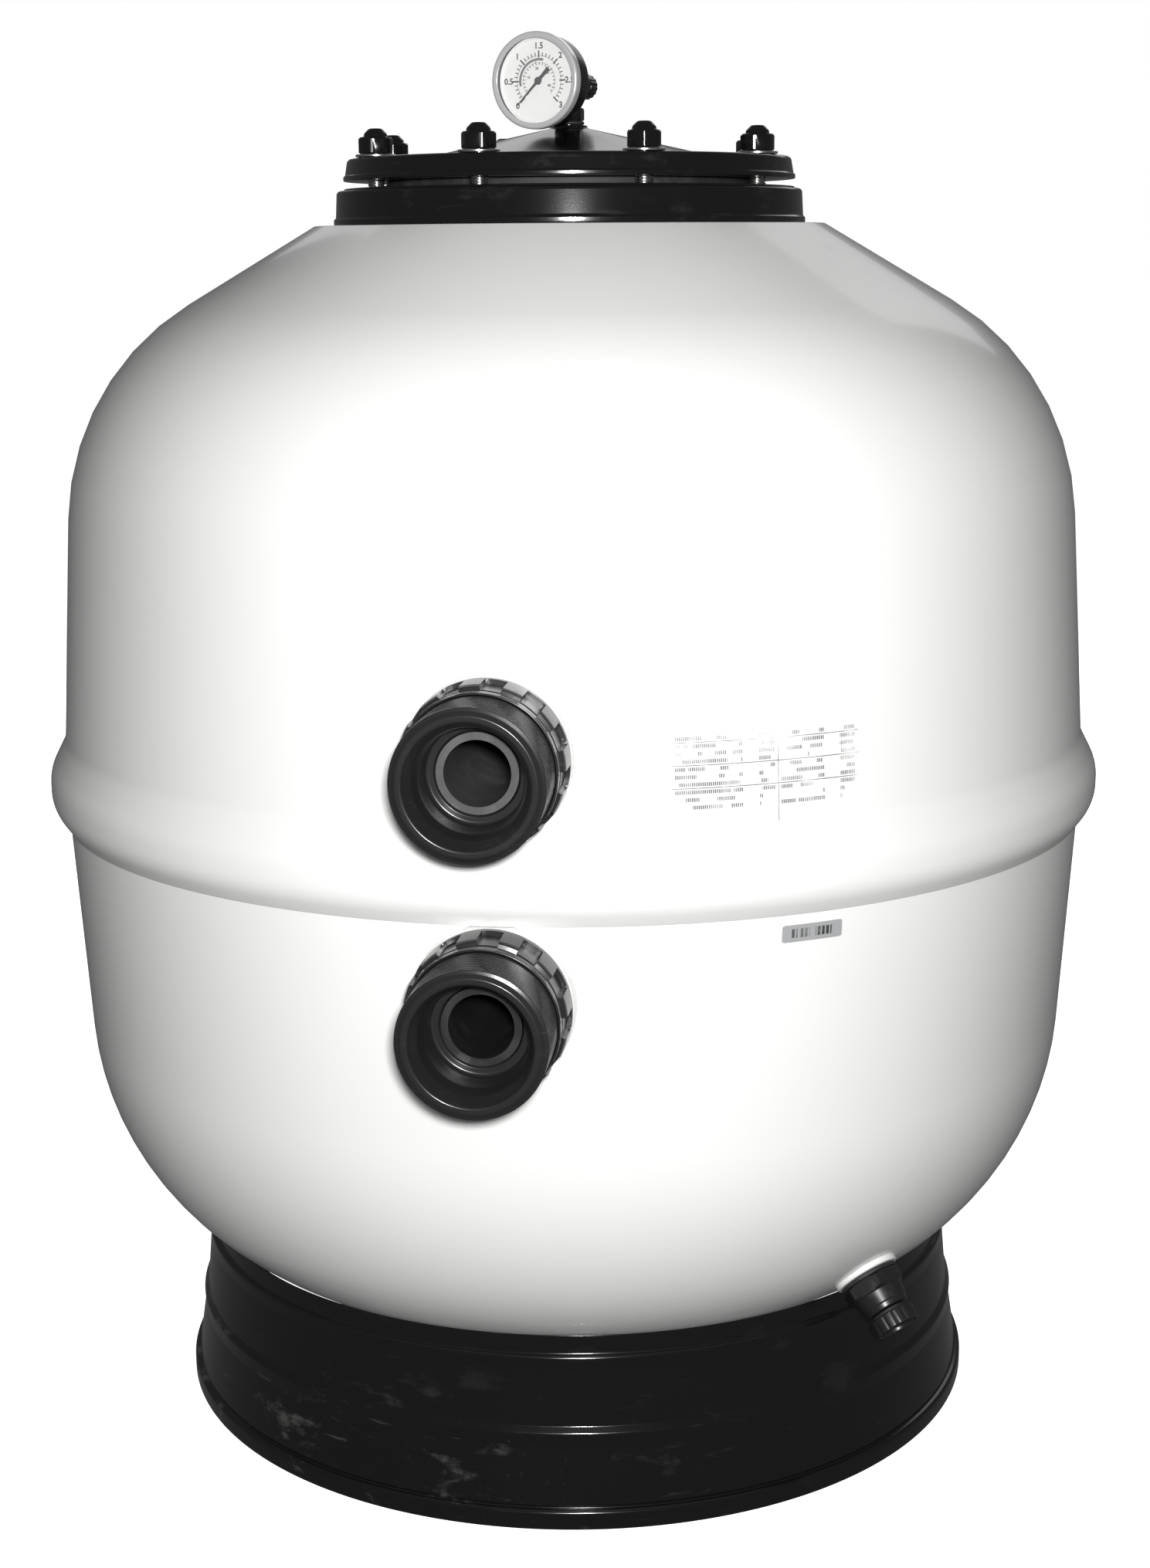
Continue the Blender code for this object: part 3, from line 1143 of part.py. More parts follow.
# ---------------------------------------------------------------- the whole tank
def make_tank():
    """Build every piece from the floor up."""
    make_base()
    make_lower_shell()
    make_upper_shell()
    make_neck_ring()
    make_lid_gasket()
    make_lid()
    make_bolts()
    make_tee()
    make_purge_screw()
    make_gauge()
    make_port("upper", UPPER_PORT, upper_wall_radius, UPPER_PORT_Z, UPPER_LUG_PHASE)
    make_port("lower", LOWER_PORT, lower_wall_radius, LOWER_PORT_Z, LOWER_LUG_PHASE)
    make_inlet()
    make_outlet()
    make_drain()
    make_label("data_label", DATA_LABEL, upper_wall_radius)
    make_label("serial_label", SERIAL_LABEL, lower_wall_radius)
    for body in PARTS.objects:
        if body.type == "MESH" and body.modifiers:
            freeze(body)


make_tank()
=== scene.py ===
"""Looks of the side-mount sand filter tank, built round its fixed frame.

Lengths are in metres, +Z is up and both side ports point along -Y. Profiles are lists of (radius,
height) corners, each with the radius of its fillet, turned about the axis of their own piece.
"""

import logging
import math
from dataclasses import dataclass
from enum import Enum
from typing import Any, Callable, Dict, List, Mapping, Optional, Sequence, Tuple, Union

import bmesh
import bpy
from mathutils import Matrix, Vector


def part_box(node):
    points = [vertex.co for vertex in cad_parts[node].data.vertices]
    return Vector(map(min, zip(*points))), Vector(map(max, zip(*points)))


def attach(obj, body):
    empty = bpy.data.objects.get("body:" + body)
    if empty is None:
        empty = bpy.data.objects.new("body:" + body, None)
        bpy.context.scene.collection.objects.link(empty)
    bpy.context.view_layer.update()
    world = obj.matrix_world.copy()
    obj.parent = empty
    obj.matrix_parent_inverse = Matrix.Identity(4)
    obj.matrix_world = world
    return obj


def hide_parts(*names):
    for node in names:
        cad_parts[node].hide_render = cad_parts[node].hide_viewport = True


LOG = logging.getLogger("sand_filter_tank")

Rgb = Tuple[float, float, float]
Point = Tuple[float, float]
Corner = Tuple[float, float, float]
Radius = Callable[[float, float, float], float]
Setting = Union["Value", float, Tuple[float, ...]]

FACET = math.radians(9)
HARD_EDGE = math.radians(32)


# ---------------------------------------------------------------- shader expressions
class Value:
    """One output of a shader node, on which arithmetic adds Math nodes."""

    def __init__(self, graph: "Graph", socket: bpy.types.NodeSocket) -> None:
        """Wrap a socket of a graph.

        Args:
            graph: The graph that further nodes are added to.
            socket: The output that this value stands for.
        """
        self.graph = graph
        self.socket = socket

    def _math(self, operation: str, *terms: Setting) -> "Value":
        """Add a Math node.

        Args:
            operation: Blender's name of the operation.
            terms: Its inputs, in order.

        Returns:
            The node's output.
        """
        return self.graph.take("ShaderNodeMath", {"operation": operation}, dict(enumerate(terms)))

    def __add__(self, other: Setting) -> "Value":
        """Sum."""
        return self._math("ADD", self, other)

    __radd__ = __add__

    def __sub__(self, other: Setting) -> "Value":
        """Difference."""
        return self._math("SUBTRACT", self, other)

    def __rsub__(self, other: Setting) -> "Value":
        """Difference from a number."""
        return self._math("SUBTRACT", other, self)

    def __mul__(self, other: Setting) -> "Value":
        """Product."""
        return self._math("MULTIPLY", self, other)

    __rmul__ = __mul__

    def __truediv__(self, other: Setting) -> "Value":
        """Quotient."""
        return self._math("DIVIDE", self, other)

    def above(self, limit: Setting) -> "Value":
        """1 where the value is over a limit, else 0."""
        return self._math("GREATER_THAN", self, limit)

    def part(self) -> "Value":
        """The part after the decimal point."""
        return self._math("FRACT", self)

    def whole(self) -> "Value":
        """The whole number at or below the value."""
        return self._math("FLOOR", self)

    def __abs__(self) -> "Value":
        """Size without the sign."""
        return self._math("ABSOLUTE", self)

    def between(self, low: float, high: float) -> "Value":
        """Smooth step from 0 at one value to 1 at another.

        Args:
            low: Where the step starts.
            high: Where it ends; it may be the lower of the two.

        Returns:
            The step's output.
        """
        settings = {"interpolation_type": "SMOOTHSTEP"}
        return self.graph.take(
            "ShaderNodeMapRange", settings, {"Value": self, "From Min": low, "From Max": high}
        )


class Graph:
    """The node tree of one finish."""

    def __init__(self, name: str) -> None:
        """Start a material.

        Args:
            name: The material's name.
        """
        self.material = bpy.data.materials.new(name)
        self.material.use_nodes = True
        self.tree = self.material.node_tree
        self.surface = self.tree.nodes["Principled BSDF"]

    def plug(self, socket: bpy.types.NodeSocket, setting: Setting) -> None:
        """Link or set an input.

        Args:
            socket: The input.
            setting: A value to link, or a number, colour or vector to set.
        """
        if isinstance(setting, Value):
            self.tree.links.new(setting.socket, socket)
        elif socket.type == "RGBA":
            socket.default_value = (*setting[:3], 1.0)
        else:
            socket.default_value = setting

    def node(
        self,
        kind: str,
        settings: Optional[Mapping[str, Any]] = None,
        inputs: Optional[Mapping[Union[int, str], Setting]] = None,
    ) -> bpy.types.Node:
        """Add a node.

        Args:
            kind: Blender's type of the node.
            settings: The node's own settings, which are set first.
            inputs: Settings of its inputs, by name or number.

        Returns:
            The node.
        """
        made = self.tree.nodes.new(kind)
        for name, setting in (settings or {}).items():
            setattr(made, name, setting)
        for name, setting in (inputs or {}).items():
            self.plug(made.inputs[name], setting)
        return made

    def take(
        self,
        kind: str,
        settings: Optional[Mapping[str, Any]] = None,
        inputs: Optional[Mapping[Union[int, str], Setting]] = None,
        output: Union[int, str] = 0,
    ) -> Value:
        """Add a node and take one of its outputs, with the arguments of `node`."""
        return Value(self, self.node(kind, settings, inputs).outputs[output])

    def place(self) -> Value:
        """Where a point of the piece is, in metres."""
        return self.take("ShaderNodeTexCoord", output="Object")

    def stretched(self, scale: Tuple[float, float, float]) -> Value:
        """The point's place with each axis scaled, so that a pattern runs along one of them."""
        return self.take("ShaderNodeVectorMath", {"operation": "MULTIPLY"}, {0: self.place(), 1: scale})

    def split(self, vector: Value) -> Tuple[Value, Value, Value]:
        """The three numbers of a vector."""
        made = self.node("ShaderNodeSeparateXYZ", None, {0: vector})
        return tuple(Value(self, output) for output in made.outputs)

    def noise(
        self, scale: float, detail: float = 3.0, rough: float = 0.5, vector: Optional[Value] = None
    ) -> Value:
        """Cloudy noise about 0.5.

        Args:
            scale: Lumps per metre.
            detail: Octaves.
            rough: Share that each octave keeps.
            vector: Where to read it, if not at the point's own place.

        Returns:
            The noise.
        """
        inputs = {"Vector": vector or self.place(), "Scale": scale, "Detail": detail, "Roughness": rough}
        return self.take("ShaderNodeTexNoise", None, inputs)

    def specks(self, scale: float, radius: float, share: float) -> Value:
        """Round specks.

        Args:
            scale: Cells per metre.
            radius: A speck's radius, in cells.
            share: Share of the cells that hold one.

        Returns:
            1 on a speck, else 0.
        """
        cells = self.node("ShaderNodeTexVoronoi", None, {"Vector": self.place(), "Scale": scale})
        chance = self.split(Value(self, cells.outputs["Color"]))[0]
        return Value(self, cells.outputs["Distance"]).between(radius, radius * 0.6) * chance.above(1 - share)

    def mix(self, first: Setting, second: Setting, share: Setting) -> Value:
        """Blend two colours.

        Args:
            first: The colour at share 0.
            second: The colour at share 1.
            share: How much of the second.

        Returns:
            The blend.
        """
        return self.take(
            "ShaderNodeMix", {"data_type": "RGBA", "clamp_factor": True}, {0: share, 6: first, 7: second}, 2
        )

    def relief(
        self, height: Value, depth: float, strength: float = 1.0, under: Optional[Value] = None
    ) -> Value:
        """Normals of a fine relief.

        Args:
            height: From 0 to 1.
            depth: Metres from 0 to 1.
            strength: Share of the relief that shows.
            under: A coarser relief that this one lies on.

        Returns:
            The normals.
        """
        inputs: Dict[Union[int, str], Setting] = {"Strength": strength, "Distance": depth, "Height": height}
        if under is not None:
            inputs["Normal"] = under
        return self.take("ShaderNodeBump", None, inputs)

    def dress(self, **inputs: Setting) -> None:
        """Set the surface shader's inputs, named with underscores for spaces."""
        for name, setting in inputs.items():
            self.plug(self.surface.inputs[name.replace("_", " ")], setting)


# ---------------------------------------------------------------- finishes
@dataclass(frozen=True)
class Finish:
    """A surface finish, whose material is made once.

    Attributes:
        name: The material's name.
        slot: The record's slot that it belongs to.
    """

    name: str
    slot: str

    def draw(self, graph: Graph) -> None:
        """Add the finish's nodes to a graph."""
        raise NotImplementedError

    def material(self) -> bpy.types.Material:
        """The finish's material."""
        made = bpy.data.materials.get(self.name)
        if made is None:
            graph = Graph(self.name)
            self.draw(graph)
            made = graph.material
        return made


@dataclass(frozen=True)
class GlossShell(Finish):
    """Gloss white moulding, with faint mottling, handling marks and dust near the floor.

    Attributes:
        white: The clean colour.
        worn: The colour where it is dull or dusty.
        floor: Height under which dust gathers.
    """

    white: Rgb = (0.84, 0.84, 0.83)
    worn: Rgb = (0.62, 0.615, 0.60)
    floor: float = 0.16

    def draw(self, graph: Graph) -> None:
        """Mottled gloss with a moulded skin and a few specks."""
        height = graph.split(graph.place())[2]
        cloud = graph.noise(7.0, 4.0)
        smear = graph.noise(11.0, 6.0, 0.65, graph.stretched((1.0, 1.0, 0.25))).between(0.60, 0.78)
        dust = height.between(self.floor, self.floor - 0.09) * graph.noise(24.0, 6.0, 0.6).between(0.42, 0.70)
        speck = graph.specks(26.0, 0.035, 0.10)
        mark = smear * 0.04 + dust * 0.45 + speck * 0.6 + cloud.between(0.35, 0.75) * 0.06
        skin = graph.relief(graph.noise(55.0, 2.0), 0.00010, 0.5)
        skin = graph.relief(graph.noise(420.0, 3.0), 0.00002, 0.4, skin)
        graph.dress(
            Base_Color=graph.mix(self.white, self.worn, mark),
            Roughness=0.20 + cloud * 0.10 + smear * 0.12 + dust * 0.35,
            Normal=skin,
            Coat_Weight=0.30 - dust * 0.30,
            Coat_Roughness=0.08,
            Specular_IOR_Level=0.5,
        )


@dataclass(frozen=True)
class BlackMoulding(Finish):
    """Black moulded plastic.

    Attributes:
        black: The clean colour.
        dusty: The colour of dust and scuffs.
        rough: Roughness where clean.
        dust: How much dust lies on it.
        scuffs: How strongly it is scuffed.
        height: Under this height the scuffs and dust are at their fullest; 0 for everywhere.
        grain: Lumps of the moulded grain per metre.
    """

    black: Rgb = (0.0055, 0.0055, 0.006)
    dusty: Rgb = (0.15, 0.148, 0.142)
    rough: float = 0.20
    dust: float = 0.25
    scuffs: float = 0.25
    height: float = 0.0
    grain: float = 900.0

    def draw(self, graph: Graph) -> None:
        """Grained black with clouds of dust, short scratches and smears."""
        place = graph.place()
        across, _, height = graph.split(place)
        cloud = graph.noise(16.0, 7.0, 0.62).between(0.50, 0.82)
        lint = graph.noise(210.0, 4.0, 0.7).between(0.58, 0.80)
        scratch = graph.noise(34.0, 5.0, 0.6, graph.stretched((1.0, 1.0, 6.0))).between(0.63, 0.72)
        smear = graph.noise(21.0, 8.0, 0.7, graph.stretched((1.0, 1.0, 2.2))).between(0.56, 0.70)
        worn = cloud * lint * self.dust + (scratch * 0.35 + smear * 0.55) * self.scuffs
        if self.height:
            low = height.between(self.height, self.height * 0.35) * across.between(0.16, -0.16)
            worn = worn * (0.12 + low * 1.3)
        skin = graph.relief(graph.noise(self.grain, 2.0), 0.00003, 0.5)
        skin = graph.relief(graph.noise(70.0, 2.0), 0.00006, 0.4, skin)
        graph.dress(
            Base_Color=graph.mix(self.black, self.dusty, worn),
            Roughness=self.rough + cloud * 0.07 + worn * 0.45,
            Normal=skin,
            Specular_IOR_Level=0.5,
        )


@dataclass(frozen=True)
class PipePlastic(Finish):
    """Extruded grey pipe, with faint lines along it and a film of silt.

    Attributes:
        grey: The clean colour.
        silt: The colour of the film.
    """

    grey: Rgb = (0.060, 0.061, 0.063)
    silt: Rgb = (0.13, 0.128, 0.12)

    def draw(self, graph: Graph) -> None:
        """Streaked grey with a cloudy film."""
        streak = graph.noise(160.0, 3.0, 0.5, graph.stretched((1.0, 0.06, 0.06)))
        film = graph.noise(42.0, 6.0, 0.6).between(0.45, 0.80)
        graph.dress(
            Base_Color=graph.mix(self.grey, self.silt, film * 0.5 + streak * 0.15),
            Roughness=0.38 + film * 0.25,
            Normal=graph.relief(streak, 0.00004, 0.5),
        )


@dataclass(frozen=True)
class SealRubber(Finish):
    """Matt black rubber with a bloom.

    Attributes:
        black: The clean colour.
        bloom: The colour of the bloom.
    """

    black: Rgb = (0.018, 0.018, 0.018)
    bloom: Rgb = (0.075, 0.074, 0.072)

    def draw(self, graph: Graph) -> None:
        """Clouded black, slightly pitted."""
        cloud = graph.noise(120.0, 6.0, 0.65).between(0.40, 0.85)
        graph.dress(
            Base_Color=graph.mix(self.black, self.bloom, cloud * 0.6),
            Roughness=0.62 + cloud * 0.20,
            Normal=graph.relief(graph.noise(1500.0, 3.0), 0.00005, 0.6),
        )


class Lay(Enum):
    """Direction in which a metal was worked, as the stretch of its grain."""

    TURNED = (1.0, 1.0, 14.0)
    DRAWN = (14.0, 14.0, 1.0)
    POLISHED = (1.0, 1.0, 1.0)


@dataclass(frozen=True)
class Metal(Finish):
    """Bare metal.

    Attributes:
        bright: The clean colour.
        dull: The colour of tarnish and finger marks.
        rough: Roughness where clean.
        lay: How it was worked.
        metallic: How much of it is bare metal; the rest is plain bright colour, a painted reflection of bright
            surroundings.
    """

    bright: Rgb = (0.66, 0.66, 0.65)
    dull: Rgb = (0.36, 0.355, 0.34)
    rough: float = 0.22
    lay: Lay = Lay.TURNED
    metallic: float = 1.0

    def draw(self, graph: Graph) -> None:
        """Worked metal under a patchy tarnish."""
        grain = graph.noise(620.0, 3.0, 0.6, graph.stretched(self.lay.value))
        patch = graph.noise(75.0, 6.0, 0.6).between(0.48, 0.80)
        graph.dress(
            Base_Color=graph.mix(self.bright, self.dull, patch * 0.55),
            Metallic=self.metallic,
            Roughness=self.rough + patch * 0.18 + grain * 0.06,
            Normal=graph.relief(grain, 0.00001, 0.5 if self.lay is not Lay.POLISHED else 0.1),
        )


@dataclass(frozen=True)
class ClearLens(Finish):
    """Clear flat window with a little dust.

    Attributes:
        tint: Its colour.
        dusty: The colour of dust on it.
    """

    tint: Rgb = (0.93, 0.95, 0.96)
    dusty: Rgb = (0.80, 0.80, 0.78)

    def draw(self, graph: Graph) -> None:
        """A thin clear film with specks and wipe marks."""
        wipe = graph.noise(95.0, 5.0, 0.6, graph.stretched((1.0, 1.0, 0.4))).between(0.55, 0.85)
        speck = graph.specks(900.0, 0.10, 0.06)
        graph.dress(
            Base_Color=graph.mix(self.tint, self.dusty, speck),
            Roughness=0.04 + wipe * 0.10,
            Alpha=0.05 + wipe * 0.03 + speck * 0.30,
            Normal=graph.relief(graph.noise(60.0, 1.0), 0.00002, 0.2),
            IOR=1.5,
        )


@dataclass(frozen=True)
class DialPaint(Finish):
    """Matt paint on a dial.

    Attributes:
        paint: Its colour.
        aged: The colour that it has yellowed to in places.
    """

    paint: Rgb = (0.86, 0.86, 0.84)
    aged: Rgb = (0.74, 0.725, 0.68)

    def draw(self, graph: Graph) -> None:
        """Slightly aged paint with a fine stipple."""
        cloud = graph.noise(110.0, 4.0, 0.6).between(0.40, 0.85)
        graph.dress(
            Base_Color=graph.mix(self.paint, self.aged, cloud * 0.35),
            Roughness=0.42 + cloud * 0.12,
            Normal=graph.relief(graph.noise(2600.0, 2.0), 0.00001, 0.5),
        )


@dataclass(frozen=True)
class PrintedFilm(Finish):
    """Printed sticker, with rows of greeked print and rules on its own (u, v) square.

    Attributes:
        film: The film's colour.
        ink: The print's colour.
        rows: Rows of print from the top to the bottom.
        columns: (left, right) of each column of print, across.
        rules: Heights of the rules; none if empty.
        letters: Marks that would fit across the whole film.
        margin: Share of the film's height that is blank under the print.
        strength: How dark the print is.
        sheen: Roughness of the film.
    """

    film: Rgb = (0.84, 0.84, 0.83)
    ink: Rgb = (0.10, 0.10, 0.105)
    rows: int = 10
    columns: Tuple[Point, ...] = ((0.01, 0.36), (0.44, 0.53), (0.56, 0.80), (0.89, 0.98))
    rules: Tuple[float, ...] = (0.90, 0.60, 0.30)
    letters: float = 95.0
    margin: float = 0.16
    strength: float = 0.92
    sheen: float = 0.30

    def draw(self, graph: Graph) -> None:
        """Rows of broken marks between thin rules, on a satin film."""
        across, height, _ = graph.split(graph.take("ShaderNodeTexCoord", output="UV"))
        up = (height - self.margin) / (1 - self.margin)
        row = up * self.rows
        line = abs(row.part() - 0.5).between(0.30, 0.22)
        words = graph.take(
            "ShaderNodeTexNoise",
            {"noise_dimensions": "2D"},
            {
                "Vector": graph.take(
                    "ShaderNodeCombineXYZ", None, {0: across * 9.0, 1: row.whole() * 3.7}
                ),
                "Scale": 1.0,
                "Detail": 1.0,
            },
        ).above(0.46)
        marks = abs((across * self.letters).part() - 0.5)
        print_mask = line * words * marks.between(0.40, 0.28)
        inside: Setting = 0.0
        for left, right in self.columns:
            inside = across.above(left) * (1 - across.above(right)) + inside
        ruled: Setting = 0.0
        for height in self.rules:
            ruled = (1 - abs(up - height).above(0.006)) + ruled
        ink = (print_mask * inside + ruled) * up.above(0.0)
        if self.rules:
            ink = ink + (1 - abs(across - 0.545).above(0.002)) * (1 - up.above(0.90))
        fade = graph.noise(60.0, 4.0, 0.6).between(0.25, 0.62)
        graph.dress(
            Base_Color=graph.mix(self.film, self.ink, ink * fade * self.strength),
            Roughness=self.sheen + fade * 0.08,
            Normal=graph.relief(graph.noise(300.0, 2.0), 0.00002, 0.4),
        )


@dataclass(frozen=True)
class StudioFloor(Finish):
    """Plain pale floor.

    Attributes:
        pale: Its colour.
        glow: Light that it gives of itself, so that it stays pale away from the lamps.
    """

    pale: Rgb = (0.90, 0.90, 0.90)
    glow: float = 0.93

    def draw(self, graph: Graph) -> None:
        """Matt and even."""
        graph.dress(
            Base_Color=self.pale,
            Roughness=0.9,
            Specular_IOR_Level=0.1,
            Emission_Color=(1.0, 1.0, 1.0),
            Emission_Strength=self.glow,
        )


SHELL = GlossShell("finish_shell", "shell")
SKIRT = BlackMoulding("finish_skirt", "base_plastic", dust=0.50, scuffs=0.60, height=0.085, rough=0.14)
FITTING = BlackMoulding("finish_fitting", "fitting_plastic", dust=0.22, scuffs=0.14, rough=0.16)
NUT = BlackMoulding("finish_nut", "nut_plastic", dust=0.10, scuffs=0.08, rough=0.15)
PORT = BlackMoulding(
    "finish_port", "port_plastic", dust=0.18, scuffs=0.16, rough=0.25, black=(0.016, 0.016, 0.0165)
)
DRAIN = BlackMoulding(
    "finish_drain", "drain_plastic", dust=0.35, scuffs=0.25, rough=0.30, black=(0.014, 0.014, 0.0145)
)
INNER = BlackMoulding(
    "finish_inner", "inner_plastic", dust=0.60, scuffs=0.20, rough=0.50, black=(0.030, 0.030, 0.031)
)
PIPE = PipePlastic("finish_pipe", "pipe_grey")
# Darker copy of the pipe finish for the outlet pipe, which runs low in the tank: painted shade on the same grey
# plastic as the inlet pipe.
SHADED_OUTLET_PIPE = PipePlastic("finish_shaded_outlet_pipe", "pipe_grey", (0.012, 0.012, 0.0125), (0.045, 0.044, 0.042))
SEAL = SealRubber("finish_seal", "seal_rubber")
STEEL = Metal("finish_stud", "stud_steel", rough=0.20)
ENAMEL = BlackMoulding("finish_gauge_case", "gauge_case_black", dust=0.20, scuffs=0.10, rough=0.20)
# The bezel is only 0.55 metal: its bright diffuse colour is a painted reflection of the bright surroundings
# that polished chrome would mirror.
CHROME = Metal(
    "finish_bezel", "gauge_chrome", (0.90, 0.90, 0.91), (0.72, 0.72, 0.72), 0.13, Lay.POLISHED, 0.55
)
LENS = ClearLens("finish_lens", "gauge_lens_clear")
DIAL = DialPaint("finish_dial", "gauge_dial_white")
DIAL_INK = DialPaint("finish_dial_ink", "gauge_dial_white", (0.022, 0.022, 0.024), (0.05, 0.05, 0.05))
DIAL_BAND = DialPaint("finish_dial_band", "gauge_dial_white", (0.16, 0.16, 0.165), (0.24, 0.24, 0.24))
POINTER = DialPaint("finish_pointer", "gauge_pointer_black", (0.020, 0.020, 0.021), (0.05, 0.05, 0.05))
BRASS = Metal("finish_brass", "gauge_brass", (0.66, 0.48, 0.20), (0.36, 0.25, 0.12), 0.26)
DATA_FILM = PrintedFilm("finish_data_label", "label_film")
SERIAL_FILM = PrintedFilm(
    "finish_serial_label",
    "label_film",
    film=(0.36, 0.365, 0.37),
    ink=(0.03, 0.03, 0.03),
    rows=1,
    columns=((0.14, 0.86),),
    rules=(),
    letters=14.0,
    margin=0.0,
    strength=0.95,
)
FLOOR = StudioFloor("finish_floor", "shell")


# ---------------------------------------------------------------- shapes
def arc(centre: Point, radius: float, start: float, end: float) -> List[Corner]:
    """Corners along an arc.

    Args:
        centre: The arc's centre.
        radius: Its radius.
        start: Angle of its first point.
        end: Angle of its last point.

    Returns:
        Plain corners, both ends included.
    """
    count = max(2, math.ceil(abs(end - start) / (FACET / 2)))
    angles = [start + (end - start) * step / count for step in range(count + 1)]
    return [(centre[0] + radius * math.cos(a), centre[1] + radius * math.sin(a), 0.0) for a in angles]


def rounded(corners: Sequence[Corner], closed: bool) -> List[Point]:
    """Replace each fillet by short straight steps.

    Args:
        corners: (radius, height, fillet) of each corner.
        closed: Whether the line runs back from its last corner to its first.

    Returns:
        The line's points.
    """
    points: List[Point] = []
    count = len(corners)
    for index, (r, z, fillet) in enumerate(corners):
        if not fillet or (not closed and index in (0, count - 1)):
            points.append((r, z))
            continue
        here = Vector((r, z))
        before = Vector(corners[index - 1][:2]) - here
        after = Vector(corners[(index + 1) % count][:2]) - here
        half = before.angle(after) / 2
        if half > math.radians(89.5):
            points.append((r, z))
            continue
        reach = min(fillet / math.tan(half), 0.49 * before.length, 0.49 * after.length)
        radius = reach * math.tan(half)
        centre = here + (before.normalized() + after.normalized()).normalized() * radius / math.sin(half)
        first = here + before.normalized() * reach - centre
        last = here + after.normalized() * reach - centre
        start = math.atan2(first.y, first.x)
        sweep = (math.atan2(last.y, last.x) - start + math.pi) % (2 * math.pi) - math.pi
        steps = max(2, math.ceil(abs(sweep) / FACET))
        for step in range(steps + 1):
            angle = start + sweep * step / steps
            points.append((centre.x + radius * math.cos(angle), centre.y + radius * math.sin(angle)))
    return points


def offset(corners: Sequence[Corner], distance: float) -> List[Corner]:
    """Move a line to its inner side; the line runs down a piece's outside.

    Args:
        corners: The line.
        distance: How far to move it.

    Returns:
        The moved line, with its fillets.
    """
    moved: List[Corner] = []
    last = len(corners) - 1
    for index, (r, z, fillet) in enumerate(corners):
        here = Vector((r, z))
        normals = []
        if index:
            along = (here - Vector(corners[index - 1][:2])).normalized()
            normals.append(Vector((along.y, -along.x)))
        if index < last:
            along = (Vector(corners[index + 1][:2]) - here).normalized()
            normals.append(Vector((along.y, -along.x)))
        mean = sum(normals, Vector((0.0, 0.0))).normalized()
        point = here + mean * distance / mean.dot(normals[0])
        moved.append((max(point.x, 0.0), point.y, max(fillet - distance, 0.0)))
    return moved


def evenly(count: int, phase: float = 0.0) -> List[float]:
    """Angles of a pattern of equal steps."""
    return [phase + 2 * math.pi * index / count for index in range(count)]


def grid(name: str, rings: Sequence[Sequence[Vector]], wrap: bool) -> bpy.types.Mesh:
    """Skin a row of closed rings.

    Args:
        name: The mesh's name.
        rings: Rings of points; a ring of one point closes the skin there.
        wrap: Whether the last ring runs on to the first.

    Returns:
        The mesh.
    """
    points: List[Vector] = []
    starts: List[int] = []
    for ring in rings:
        starts.append(len(points))
        points.extend(ring)
    faces: List[Tuple[int, ...]] = []
    pairs = list(zip(range(len(rings)), range(1, len(rings))))
    if wrap:
        pairs.append((len(rings) - 1, 0))
    for upper, lower in pairs:
        count = max(len(rings[upper]), len(rings[lower]))
        for step in range(count):
            ahead = (step + 1) % count
            a = [starts[upper] + (i if len(rings[upper]) > 1 else 0) for i in (step, ahead)]
            b = [starts[lower] + (i if len(rings[lower]) > 1 else 0) for i in (step, ahead)]
            face = dict.fromkeys((a[0], b[0], b[1], a[1]))
            if len(face) > 2:
                faces.append(tuple(face))
    mesh = bpy.data.meshes.new(name)
    mesh.from_pydata(points, [], faces)
    tidy = bmesh.new()
    tidy.from_mesh(mesh)
    bmesh.ops.recalc_face_normals(tidy, faces=tidy.faces)
    tidy.to_mesh(mesh)
    tidy.free()
    return mesh


def finish_mesh(piece: bpy.types.Object) -> bpy.types.Object:
    """Apply a piece's modifiers and shade it smooth between its hard edges."""
    if piece.modifiers:
        bpy.context.view_layer.update()
        graph = bpy.context.evaluated_depsgraph_get()
        mesh = bpy.data.meshes.new_from_object(piece.evaluated_get(graph))
        piece.modifiers.clear()
        piece.data = mesh
    piece.data.shade_smooth()
    piece.data.set_sharp_from_angle(angle=HARD_EDGE)
    return piece


def stand(name: str, mesh: bpy.types.Mesh, place: Optional[Matrix] = None) -> bpy.types.Object:
    """Put a mesh in the scene as a piece, with its place in its vertices.

    Args:
        name: The piece's name.
        mesh: Its mesh.
        place: Where its own frame stands.

    Returns:
        The piece.
    """
    if place is not None:
        mesh.transform(place)
    made = bpy.data.objects.new(name, mesh)
    bpy.context.scene.collection.objects.link(made)
    return made


def turned(
    name: str,
    corners: Sequence[Corner],
    place: Matrix,
    turns: Union[int, Sequence[float]] = 96,
    radius: Optional[Radius] = None,
    ring: bool = False,
) -> bpy.types.Object:
    """Turn a profile about local Z.

    Args:
        name: The piece's name.
        corners: The profile, from the top of its outer side downwards.
        place: Where the axis stands.
        turns: Number of equal steps, or the angles themselves.
        radius: Radius at (angle, radius, height), where the piece isn't round.
        ring: Whether the profile closes on itself clear of the axis.

    Returns:
        The piece, not yet finished.
    """
    angles = evenly(turns) if isinstance(turns, int) else list(turns)
    rings: List[List[Vector]] = []
    for r, z in rounded(corners, ring):
        if r < 1e-6:
            rings.append([Vector((0.0, 0.0, z))])
            continue
        radii = [radius(a, r, z) if radius else r for a in angles]
        rings.append([Vector((own * math.cos(a), own * math.sin(a), z)) for own, a in zip(radii, angles)])
    return stand(name, grid(name, rings, ring), place)


